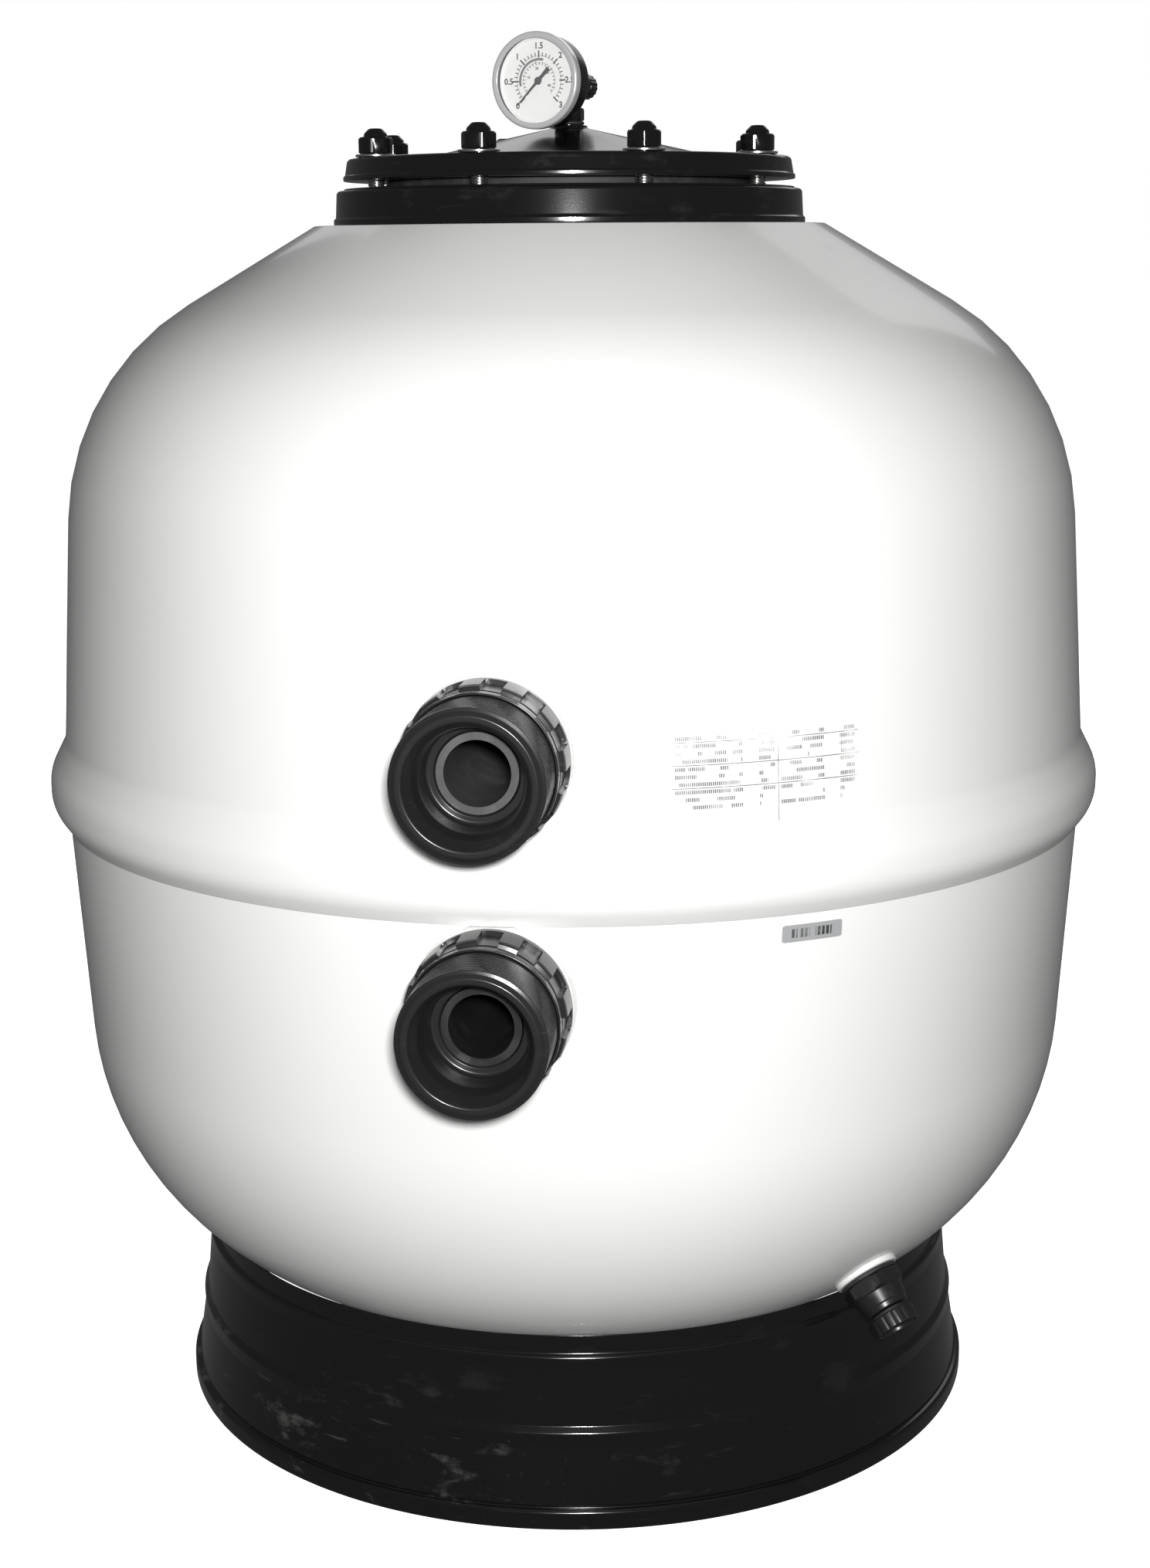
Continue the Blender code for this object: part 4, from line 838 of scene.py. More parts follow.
def combine(piece: bpy.types.Object, others: Sequence[bpy.types.Object], operation: str) -> bpy.types.Object:
    """Join helpers to a piece, or cut them from it, and remove them.

    Args:
        piece: The piece that stays.
        others: The helpers.
        operation: UNION or DIFFERENCE.

    Returns:
        The piece, with its mesh changed.
    """
    for other in others:
        change = piece.modifiers.new(other.name, "BOOLEAN")
        change.operation = operation
        change.object = other
        change.solver = "EXACT"
    bpy.context.view_layer.update()
    graph = bpy.context.evaluated_depsgraph_get()
    mesh = bpy.data.meshes.new_from_object(piece.evaluated_get(graph))
    piece.modifiers.clear()
    piece.data = mesh
    for other in others:
        bpy.data.objects.remove(other, do_unlink=True)
    return piece


def plug_solid(
    name: str, radius: float, low: float, high: float, place: Matrix, turns: int = 64
) -> bpy.types.Object:
    """A helper cylinder for a hole or a boss, between two heights of its frame."""
    return turned(
        name, [(0.0, high, 0.0), (radius, high, 0.0), (radius, low, 0.0), (0.0, low, 0.0)], place, turns
    )


def hexagon(corner: float, phase: float = 0.0) -> Callable[[float], float]:
    """Radius of a hexagon at an angle.

    Args:
        corner: Radius of its corners.
        phase: Angle of one corner.

    Returns:
        The radius as a function of the angle.
    """
    flat = corner * math.cos(math.pi / 6)
    return lambda angle: flat / math.cos((angle - phase) % (math.pi / 3) - math.pi / 6)


def swept(name: str, line: Sequence[Vector], outer: float, inner: float, sides: int = 48) -> bpy.types.Object:
    """A pipe along a line in the plane X = 0.

    Args:
        name: The piece's name.
        line: Points along its middle.
        outer: Outer radius.
        inner: Bore radius.
        sides: Facets round it.

    Returns:
        The pipe, open from end to end.
    """
    rings: List[List[Vector]] = []
    last = len(line) - 1
    for radius, order in ((outer, range(last + 1)), (inner, range(last, -1, -1))):
        for index in order:
            ahead = line[min(index + 1, last)] - line[max(index - 1, 0)]
            side = Vector((1.0, 0.0, 0.0))
            over = ahead.normalized().cross(side)
            rings.append(
                [line[index] + side * radius * math.cos(a) + over * radius * math.sin(a) for a in evenly(sides)]
            )
    return stand(name, grid(name, rings, True))


def facing(turn: float, tilt: float = 0.0) -> Matrix:
    """Rotation that takes local +Z outwards at a turn from the ports' side, tilted downwards."""
    return Matrix.Rotation(turn, 4, "Z") @ Matrix.Rotation(math.pi / 2 + tilt, 4, "X")


# ---------------------------------------------------------------- the frame's own places
@dataclass(frozen=True)
class Datum:
    """Places that the pieces share, read from the frame.

    Attributes:
        axis: Where the tank's own axis meets the floor.
        seam: Height of the joint between the two shells.
        neck: Height of the neck land.
        ring_top: Height of the neck ring's top.
        lid: Height of the lid's underside.
        ports: Heights of the upper and the lower port.
        face: Distance of the ports' ends from the tank's axis.
        gauge: Height of the gauge's middle.
    """

    axis: Matrix
    seam: float
    neck: float
    ring_top: float
    lid: float
    ports: Tuple[float, float]
    face: float
    gauge: float

    @staticmethod
    def read() -> "Datum":
        """Take the places from the frame's boxes."""
        low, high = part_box("neck_ring")
        middle = (low.y + high.y) / 2
        gasket_low, gasket_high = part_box("lid_gasket")
        ports = []
        for side in ("upper", "lower"):
            port_low, port_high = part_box(f"{side}_port_body")
            ports.append((port_low.z + port_high.z) / 2)
        bezel_low, bezel_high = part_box("gauge_bezel")
        return Datum(
            axis=Matrix.Translation((0.0, middle, 0.0)),
            seam=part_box("tank_upper_shell")[0].z,
            neck=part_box("tank_upper_shell")[1].z,
            ring_top=high.z,
            lid=gasket_high.z + (gasket_low.z - high.z),
            ports=(ports[0], ports[1]),
            face=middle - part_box("upper_port_body")[0].y,
            gauge=(bezel_low.z + bezel_high.z) / 2,
        )


@dataclass
class Assembly:
    """Pieces that are built and dressed together.

    Attributes:
        datum: The shared places.
    """

    datum: Datum

    def fit(self, piece: bpy.types.Object, body: str, finish: Finish, *nodes: str) -> bpy.types.Object:
        """Finish a piece, dress it and let it stand for its nodes.

        Args:
            piece: The piece.
            body: The body that it moves with.
            finish: Its finish.
            nodes: The nodes that it stands for.

        Returns:
            The piece.
        """
        finish_mesh(piece)
        piece.data.materials.clear()
        piece.data.materials.append(finish.material())
        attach(piece, body)
        if nodes:
            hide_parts(*nodes)
        LOG.info("built %s on %s", piece.name, body)
        return piece

    def dress(self, finish: Finish, *nodes: str) -> None:
        """Give nodes whose shape is right their finish."""
        for name in nodes:
            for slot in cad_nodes()[name].material_slots:
                slot.material = finish.material()
            LOG.info("dressed %s", name)

    def build(self) -> None:
        """Build and dress every piece."""
        raise NotImplementedError


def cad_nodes() -> Dict[str, bpy.types.Object]:
    """The frame's own nodes, by name."""
    return FRAME["nodes"]


# ---------------------------------------------------------------- base and shells
@dataclass
class BaseSkirt(Assembly):
    """Open skirt with a collar, a step half way down and a rolled foot.

    Attributes:
        seat: Outer radius under the tank.
        top: Height of its outer top edge.
        collar: Height of the plain collar's lower edge.
        step: How far each step stands out.
        middle: Height of the middle step.
        hem: Radius above the foot.
        foot: Height of the foot.
        wall: Thickness.
    """

    seat: float = 0.22813
    top: float = 0.10925
    collar: float = 0.0980
    step: float = 0.0021
    middle: float = 0.0530
    hem: float = 0.24033
    foot: float = 0.0125
    wall: float = 0.0040

    def build(self) -> None:
        """Turn the skirt in one."""
        shelf = self.seat + self.step
        waist = shelf + 0.0028
        bead = self.hem + 0.0028
        skirt = turned(
            "base_skirt_moulding",
            [
                (self.seat, self.top, 0.0004),
                (self.seat, self.collar, 0.0012),
                (shelf + 0.0006, self.collar - 0.0010, 0.0022),
                (shelf, self.collar - 0.0090, 0.004),
                (waist, self.middle + 0.0045, 0.0014),
                (waist + self.step + 0.0006, self.middle + 0.0010, 0.0024),
                (waist + self.step, self.middle - 0.0075, 0.004),
                (self.hem - 0.0004, self.foot + 0.0016, 0.0010),
                (self.hem - 0.0008, self.foot - 0.0002, 0.0006),
                (bead, self.foot - 0.0010, 0.0028),
                (bead, 0.0001, 0.0024),
                (bead - 0.0072, 0.0001, 0.0006),
                (self.hem - self.wall, self.foot, 0.003),
                (waist + self.step - self.wall, self.middle - 0.0035, 0.002),
                (waist - self.wall, self.middle + 0.0035, 0.002),
                (shelf - self.wall, self.collar - 0.0020, 0.002),
                (self.seat - self.wall, self.collar, 0.001),
                (self.seat - self.wall, self.top - 0.0030, 0.0004),
            ],
            self.datum.axis,
            192,
            ring=True,
        )
        self.fit(skirt, "tank", SKIRT, "base_skirt")


@dataclass
class Shells(Assembly):
    """The two halves of the tank, with the ports' pads and the drain's boss.

    Attributes:
        radius: Outside of the lower wall at the joint.
        wall: Thickness.
        draft: Slope of the walls.
        knuckle: Radius of the knuckle.
        knuckle_top: Height of its top.
        lower_end: Slope of the knuckle's lower end.
        band: (height, how far it stands out) of the band.
        spigot: Height of the lower half inside the band.
        upper_wall: Height of the wall over the band.
        shoulder: (fillet, slope from the vertical) of the shoulder.
        land: Radius of the neck land.
        mouth: Radius of the mouth.
        pad: (radius, distance from the axis) of a port's pad.
        hole: Radius of a port's hole.
        drain_turn: Where the drain stands round the tank, from the ports' side.
        drain_tilt: How far the drain's axis points down.
    """

    radius: float = 0.3025
    wall: float = 0.005
    draft: float = math.radians(3.5)
    knuckle: float = 0.170
    knuckle_top: float = 0.23485
    lower_end: float = math.radians(35)
    band: Point = (0.0490, 0.0100)
    spigot: float = 0.024
    upper_wall: float = 0.206
    shoulder: Point = (0.150, math.radians(59.4))
    land: float = 0.1478
    mouth: float = 0.0950
    pad: Point = (0.0415, 0.3090)
    hole: float = 0.0378
    drain_turn: float = math.radians(49)
    drain_tilt: float = math.radians(45)

    def port_frame(self, index: int) -> Matrix:
        """Where a port's axis stands."""
        return self.datum.axis @ Matrix.Translation((0.0, 0.0, self.datum.ports[index])) @ facing(0.0)

    def knuckle_centre(self) -> Point:
        """Centre of the knuckle's arc, as (radius, height)."""
        wall_radius = self.radius - (self.datum.seam - self.knuckle_top) * math.tan(self.draft)
        return (
            wall_radius - self.knuckle * math.cos(self.draft),
            self.knuckle_top + self.knuckle * math.sin(self.draft),
        )

    def lower(self) -> bpy.types.Object:
        """Dished end, knuckle, wall and spigot, with the lower pad and the drain's boss."""
        seam = self.datum.seam
        centre = self.knuckle_centre()
        knuckle = arc(centre, self.knuckle, -self.draft, self.lower_end - math.pi / 2)
        edge = knuckle[-1]
        dish = edge[0] / math.sin(self.lower_end)
        dish_z = edge[1] + dish * math.cos(self.lower_end)
        outside = [(self.radius, seam, 0.0), *knuckle]
        outside += arc((0.0, dish_z), dish, self.lower_end - math.pi / 2, -math.pi / 2)[1:-1]
        outside.append((0.0, dish_z - dish, 0.0))
        inside = offset(outside, self.wall)[::-1]
        inside[0] = (0.0, dish_z - dish + self.wall, 0.0)
        top = seam + self.spigot
        rim = [(self.radius - self.wall, top, 0.0006), (self.radius, top, 0.0006)]
        shell = turned("lower_half", [*inside[:-1], *rim, *outside], self.datum.axis, 192)

        port = self.port_frame(1)
        boss = Matrix(port)
        pad = turned(
            "lower_pad",
            [
                (0.0, self.pad[1], 0.0),
                (self.pad[0], self.pad[1], 0.0016),
                (self.pad[0], 0.285, 0.0),
                (0.0, 0.285, 0.0),
            ],
            boss,
            96,
        )
        above = plug_solid("pad_trim", 0.6, seam - 0.0003, seam + 0.2, self.datum.axis, 8)
        combine(pad, [above], "DIFFERENCE")
        where = self.drain_frame()
        drain_pad = turned(
            "drain_boss",
            [(0.0, 0.0020, 0.0), (0.0190, 0.0020, 0.0012), (0.0190, -0.0040, 0.0), (0.0, -0.0040, 0.0)],
            where,
            64,
        )
        combine(shell, [pad, drain_pad], "UNION")
        holes = [
            plug_solid("port_hole", self.hole, 0.22, 0.40, port),
            plug_solid("drain_hole", 0.0129, -0.03, 0.03, where),
        ]
        return combine(shell, holes, "DIFFERENCE")

    def drain_frame(self) -> Matrix:
        """Where the drain's axis stands on the knuckle."""
        centre = self.knuckle_centre()
        out = centre[0] + self.knuckle * math.cos(self.drain_tilt)
        down = centre[1] - self.knuckle * math.sin(self.drain_tilt)
        turn = Matrix.Rotation(self.drain_turn, 4, "Z")
        return self.datum.axis @ turn @ Matrix.Translation((0.0, -out, down)) @ facing(0.0, self.drain_tilt)

    def upper(self) -> bpy.types.Object:
        """Band, wall, shoulder and neck land, with the upper pad."""
        seam, neck = self.datum.seam, self.datum.neck
        top = seam + self.band[0]
        out = self.radius + self.band[1]
        corner = self.radius - self.upper_wall * math.tan(self.draft)
        corner_z = top + self.upper_wall
        outside = [
            (self.mouth, neck, 0.0010),
            (self.land, neck, 0.0030),
            (corner, corner_z, self.shoulder[0]),
            (self.radius + 0.0004, top - 0.0020, 0.0160),
            (out, top - 0.0205, 0.0240),
            (out, seam + 0.0115, 0.0240),
            (self.radius + 0.0016, seam + 0.0002, 0.0012),
            (self.radius + 0.0007, seam, 0.0),
        ]
        under = neck - 0.008
        socket = [
            (self.radius + 0.0004, seam, 0.0),
            (self.radius + 0.0004, seam + self.spigot + 0.0003, 0.0),
            (self.radius - self.wall, seam + self.spigot + 0.0003, 0.0006),
        ]
        slope = offset(outside[1:4], self.wall)
        inside = [
            (self.radius - self.wall - 0.0005, top + 0.01, 0.0),
            slope[1],
            (self.land - self.wall, under, 0.002),
        ]
        shell = turned(
            "upper_half", [
                *outside, *socket, *inside, (self.mouth, under, 0.0010)
            ], self.datum.axis, 192, ring=True
        )
        port = self.port_frame(0)
        pad = turned(
            "upper_pad",
            [
                (0.0, self.pad[1], 0.0),
                (self.pad[0], self.pad[1], 0.0016),
                (self.pad[0], 0.287, 0.0),
                (0.0, 0.287, 0.0),
            ],
            port,
            96,
        )
        combine(shell, [pad], "UNION")
        return combine(shell, [plug_solid("port_hole", self.hole, 0.22, 0.40, port)], "DIFFERENCE")

    def build(self) -> None:
        """Build both halves."""
        self.fit(self.lower(), "tank", SHELL, "tank_lower_shell")
        self.fit(self.upper(), "tank", SHELL, "tank_upper_shell")


# ---------------------------------------------------------------- neck, lid and bolts
@dataclass
class BoltCircle:
    """The eight lid bolts.

    Attributes:
        radius: Radius of the circle.
        phase: Turn of the first bolt from the ports' side.
        count: How many there are.
    """

    radius: float = 0.1160
    phase: float = math.radians(28)
    count: int = 8

    def places(self, axis: Matrix, height: float) -> List[Matrix]:
        """Where the bolts stand.

        Args:
            axis: The tank's axis.
            height: The height that they are wanted at.

        Returns:
            One place for each bolt.
        """
        return [
            axis @ Matrix.Translation((self.radius * math.sin(turn), -self.radius * math.cos(turn), height))
            for turn in evenly(self.count, self.phase)
        ]


def screw_thread(pitch: float, depth: float, low: float, high: float, outer: float) -> Radius:
    """Radius of a screw thread between two heights.

    Args:
        pitch: Distance between turns.
        depth: Depth of the groove.
        low: Where the thread starts.
        high: Where it ends.
        outer: Radius of the crests; only points at this radius are cut.

    Returns:
        The radius as a function of angle, radius and height.
    """

    def cut(angle: float, r: float, z: float) -> float:
        """Radius of one point."""
        if abs(r - outer) > 1e-6 or not low < z < high:
            return r
        turn = (z / pitch - angle / (2 * math.pi)) % 1.0
        fade = min(1.0, (z - low) / pitch, (high - z) / pitch)
        return r - depth * fade * min(1.0, max(0.0, 1.35 - abs(2 * turn - 1) * 1.9))

    return cut


def threaded_rows(radius: float, high: float, low: float, pitch: float, per_turn: int) -> List[Corner]:
    """Plain corners down a threaded cylinder, close enough together to hold the thread."""
    count = math.ceil((high - low) / pitch * per_turn)
    return [(radius, high + (low - high) * step / count, 0.0) for step in range(count + 1)]


@dataclass
class Neck(Assembly):
    """Neck ring with its gasket and studs.

    Attributes:
        bore: Radius of the ring's bore.
        outer: Radius of its foot.
        taper: How much narrower its top is.
        stud: Radius of a stud.
    """

    bore: float = 0.0900
    outer: float = 0.1367
    taper: float = 0.0020
    stud: float = 0.0050

    def build(self) -> None:
        """Build the ring, the gasket and the studs."""
        foot, top, axis = self.datum.neck + 0.0003, self.datum.ring_top, self.datum.axis
        ring = turned(
            "neck_ring_moulding",
            [
                (self.bore, top, 0.0010),
                (self.outer - self.taper - 0.0045, top, 0.0004),
                (self.outer - self.taper - 0.0042, top - 0.0011, 0.0004),
                (self.outer - self.taper, top - 0.0012, 0.0022),
                (self.outer - 0.0012, foot + 0.0040, 0.0015),
                (self.outer, foot + 0.0030, 0.0008),
                (self.outer, foot, 0.0005),
                (0.0946, foot, 0.0003),
                (0.0946, foot - 0.012, 0.0010),
                (self.bore, foot - 0.012, 0.0010),
            ],
            axis,
            160,
            ring=True,
        )
        circle = BoltCircle()
        holes = [
            plug_solid("stud_hole", 0.0053, -0.016, 0.01, place, 24) for place in circle.places(axis, top)
        ]
        self.fit(combine(ring, holes, "DIFFERENCE"), "tank", FITTING, "neck_ring")
        low = top + 0.0003
        gasket = turned(
            "lid_gasket_ring",
            [
                (0.1050, low + 0.0038, 0.0006),
                (0.1050, low, 0.0006),
                (0.0935, low, 0.0006),
                (0.0935, low + 0.0038, 0.0006),
            ],
            axis,
            160,
            ring=True,
        )
        self.fit(gasket, "tank", SEAL, "lid_gasket")
        for index, place in enumerate(circle.places(axis, top - 0.0157), 1):
            self.fit(self.make_stud(index, place), "tank", STEEL, f"lid_stud_{index}")

    def make_stud(self, index: int, place: Matrix) -> bpy.types.Object:
        """One stud, threaded from end to end."""
        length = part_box(f"lid_stud_{index}")[1].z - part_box(f"lid_stud_{index}")[0].z
        rows = threaded_rows(self.stud, length - 0.0010, 0.0010, 0.0015, 6)
        thread = screw_thread(0.0015, 0.0007, 0.0012, length - 0.0012, self.stud)
        corners = [
            (0.0, length, 0.0),
            (self.stud - 0.0010, length, 0.0),
            *rows,
            (self.stud - 0.0010, 0.0, 0.0),
            (0.0, 0.0, 0.0),
        ]
        return turned(f"stud_{index}", corners, place, 20, thread)


@dataclass
class Lid(Assembly):
    """Flanged lid with its cone and boss, and the cap nuts with their washers.

    Attributes:
        outer: Radius of the flange's lower edge.
        flange: Thickness of the flange.
        spigot: Radius of the spigot.
        cone: (radius, rise) of the cone.
        boss: (radius, height) of the boss.
        hole: Radius of the boss's hole.
        nut_hex: Radius of a nut's corners.
        nut_skirt: Radius of a nut's round skirt.
    """

    outer: float = 0.1307
    flange: float = 0.0123
    spigot: float = 0.0888
    cone: Point = (0.0850, 0.0170)
    boss: Point = (0.0105, 0.0015)
    hole: float = 0.0070
    nut_hex: float = 0.0098
    nut_skirt: float = 0.0088

    def build(self) -> None:
        """Build the lid, the nuts and the washers."""
        low, axis = self.datum.lid, self.datum.axis
        top = low + self.flange
        peak = top + self.cone[1]
        lid = turned(
            "lid_moulding",
            [
                (self.hole, peak + self.boss[1], 0.0004),
                (self.boss[0], peak + self.boss[1], 0.0006),
                (self.boss[0] + 0.0006, peak - 0.0002, 0.0015),
                (self.cone[0], top + 0.0004, 0.0090),
                (self.outer - 0.0150 + 0.0060, top, 0.0010),
                (self.outer - 0.0026, top, 0.0026),
                (self.outer - 0.0010, low + 0.0030, 0.0010),
                (self.outer, low + 0.0024, 0.0006),
                (self.outer, low, 0.0006),
                (self.spigot, low, 0.0004),
                (self.spigot, low - 0.0110, 0.0010),
                (self.spigot - 0.0045, low - 0.0110, 0.0010),
                (self.spigot - 0.0045, top - 0.0060, 0.0030),
                (self.hole, peak - 0.0060, 0.0004),
            ],
            axis,
            160,
            ring=True,
        )
        circle = BoltCircle()
        holes = [
            plug_solid("bolt_hole", 0.0056, -0.02, 0.02, place, 24) for place in circle.places(axis, low)
        ]
        self.fit(combine(lid, holes, "DIFFERENCE"), "lid_assembly", FITTING, "lid")
        for index, place in enumerate(circle.places(axis, top + 0.0003), 1):
            self.fit(self.make_nut(index, place), f"nut_{index}", NUT, f"cap_nut_{index}")
            washer = turned(
                f"washer_{index}",
                [
                    (0.0115, 0.0014, 0.0004),
                    (0.0115, 0.0, 0.0004),
                    (0.0054, 0.0, 0.0002),
                    (0.0054, 0.0014, 0.0002),
                ],
                place,
                64,
                ring=True,
            )
            self.fit(washer, f"nut_{index}", STEEL)

    def make_nut(self, index: int, place: Matrix) -> bpy.types.Object:
        """One cap nut: hexagon with square shoulders under a blunt dome, bored for the stud."""
        across = hexagon(self.nut_hex, math.radians(37 * index))

        def shape(angle: float, r: float, z: float) -> float:
            """Cut the body halfway between its hexagon and its round, so that the flats are rounded."""
            return min(r, (across(angle) + self.nut_hex) / 2) if 0.0020 < z < 0.0112 else r

        corners = [
            (0.0, 0.0156, 0.0),
            (0.0036, 0.0156, 0.0022),
            (0.0064, 0.0128, 0.0020),
            (0.0068, 0.0110, 0.0006),
            (self.nut_hex - 0.0012, 0.0108, 0.0),
            (self.nut_hex + 0.0001, 0.0098, 0.0),
            (self.nut_hex + 0.0001, 0.0024, 0.0),
            (self.nut_skirt, 0.0017, 0.0003),
            (0.0054, 0.0017, 0.0003),
            (0.0054, 0.0104, 0.0),
            (0.0, 0.0114, 0.0),
        ]
        return turned(f"cap_nut_{index}_moulding", corners, place, 72, shape)


# ---------------------------------------------------------------- tee and purge screw
@dataclass
class Tee(Assembly):
    """Fitting between the lid and the gauge, with the purge screw and both sealing rings.

    Attributes:
        turn: Turn of the gauge's side from the ports' side.
        nipple: Radius of the screwed end.
        collar: Radius of the hexagon's corners.
        waist: Radius over the hexagon.
        body: Radius of the body.
        arm: Radius of the arms.
        drop: Height of the gauge over the hexagon's seat.
        knob: Radius of the purge screw.
    """

    turn: float = math.radians(-17.3)
    nipple: float = 0.0066
    collar: float = 0.0093
    waist: float = 0.0062
    body: float = 0.0100
    arm: float = 0.0085
    drop: float = 0.0202
    knob: float = 0.00725

    def gauge_frame(self) -> Matrix:
        """Where the gauge's axis stands."""
        return self.datum.axis @ Matrix.Translation((0.0, 0.0, self.datum.gauge)) @ facing(self.turn)

    def ring(self, name: str, middle: float, height: float, place: Matrix, body: str, node: str) -> None:
        """Build a sealing ring of 2 mm section."""
        section = arc((middle, height), 0.0010, math.pi / 2, -1.5 * math.pi)[:-1]
        self.fit(turned(name, section, place, 64, ring=True), body, SEAL, node)

    def build(self) -> None:
        """Build the tee, the rings and the screw."""
        axis, arms = self.datum.axis, self.gauge_frame()
        seat = self.datum.gauge - self.drop
        across = hexagon(self.collar, math.radians(22))

        def shape(angle: float, r: float, z: float) -> float:
            """Cut the collar to its hexagon."""
            return min(
                r, across(angle)
            ) if seat - 0.0001 < z < seat + 0.0074 and r > self.waist + 0.0003 else r

        top = self.datum.gauge + self.arm + 0.0003
        tee = turned(
            "tee_moulding",
            [
                (0.0, top, 0.0),
                (self.body, top, 0.0034),
                (self.body, self.datum.gauge - 0.0050, 0.0050),
                (self.waist, seat + 0.0090, 0.0030),
                (self.waist, seat + 0.0071, 0.0),
                (self.collar - 0.0008, seat + 0.0070, 0.0),
                (self.collar + 0.0002, seat + 0.0060, 0.0),
                (self.collar + 0.0002, seat + 0.0008, 0.0),
                (self.collar - 0.0008, seat, 0.0),
                (self.nipple, seat, 0.0),
                (self.nipple, seat - 0.0080, 0.0006),
                (0.0, seat - 0.0080, 0.0),
            ],
            axis,
            72,
            shape,
        )
        arm = turned(
            "tee_arms",
            [
                (0.0, 0.0150, 0.0),
                (self.arm, 0.0150, 0.0010),
                (self.arm, 0.0080, 0.0012),
                (self.arm - 0.0009, 0.0070, 0.0012),
                (self.arm - 0.0009, -0.0065, 0.0012),
                (self.arm, -0.0080, 0.0012),
                (self.arm, -0.0130, 0.0010),
                (0.0, -0.0130, 0.0),
            ],
            arms,
            64,
        )
        combine(tee, [arm], "UNION")
        combine(tee, [plug_solid("gauge_hole", 0.0048, 0.0062, 0.03, arms, 32),
                      plug_solid("purge_hole", 0.0038, -0.03, -0.0042, arms, 32)], "DIFFERENCE")
        self.fit(tee, "lid_assembly", FITTING, "tee_fitting")
        self.ring("tee_seal", self.nipple + 0.0013, seat - 0.0013, axis, "lid_assembly", "tee_o_ring")
        self.ring("purge_seal_ring", 0.0048, -0.0143, arms, "purge_seal", "purge_o_ring")
        shoulder = -0.0156

        def ribs(angle: float, r: float, z: float) -> float:
            """Flute the knob's rim."""
            if r < self.knob - 0.0004 or z > shoulder - 0.0006:
                return r
            return r - 0.0006 * max(0.0, math.cos(16 * angle)) ** 2

        knob = turned(
            "purge_screw_knob",
            [
                (0.0, -0.0042, 0.0),
                (0.0035, -0.0042, 0.0004),
                (0.0035, shoulder, 0.0),
                (self.knob, shoulder, 0.0005),
                (self.knob, shoulder - 0.0096, 0.0012),
                (self.knob - 0.0018, shoulder - 0.0096, 0.0005),
                (self.knob - 0.0024, shoulder - 0.0088, 0.0005),
                (0.0, shoulder - 0.0088, 0.0),
            ],
            arms,
            128,
            ribs,
        )
        self.fit(knob, "purge_screw", FITTING, "purge_knob")


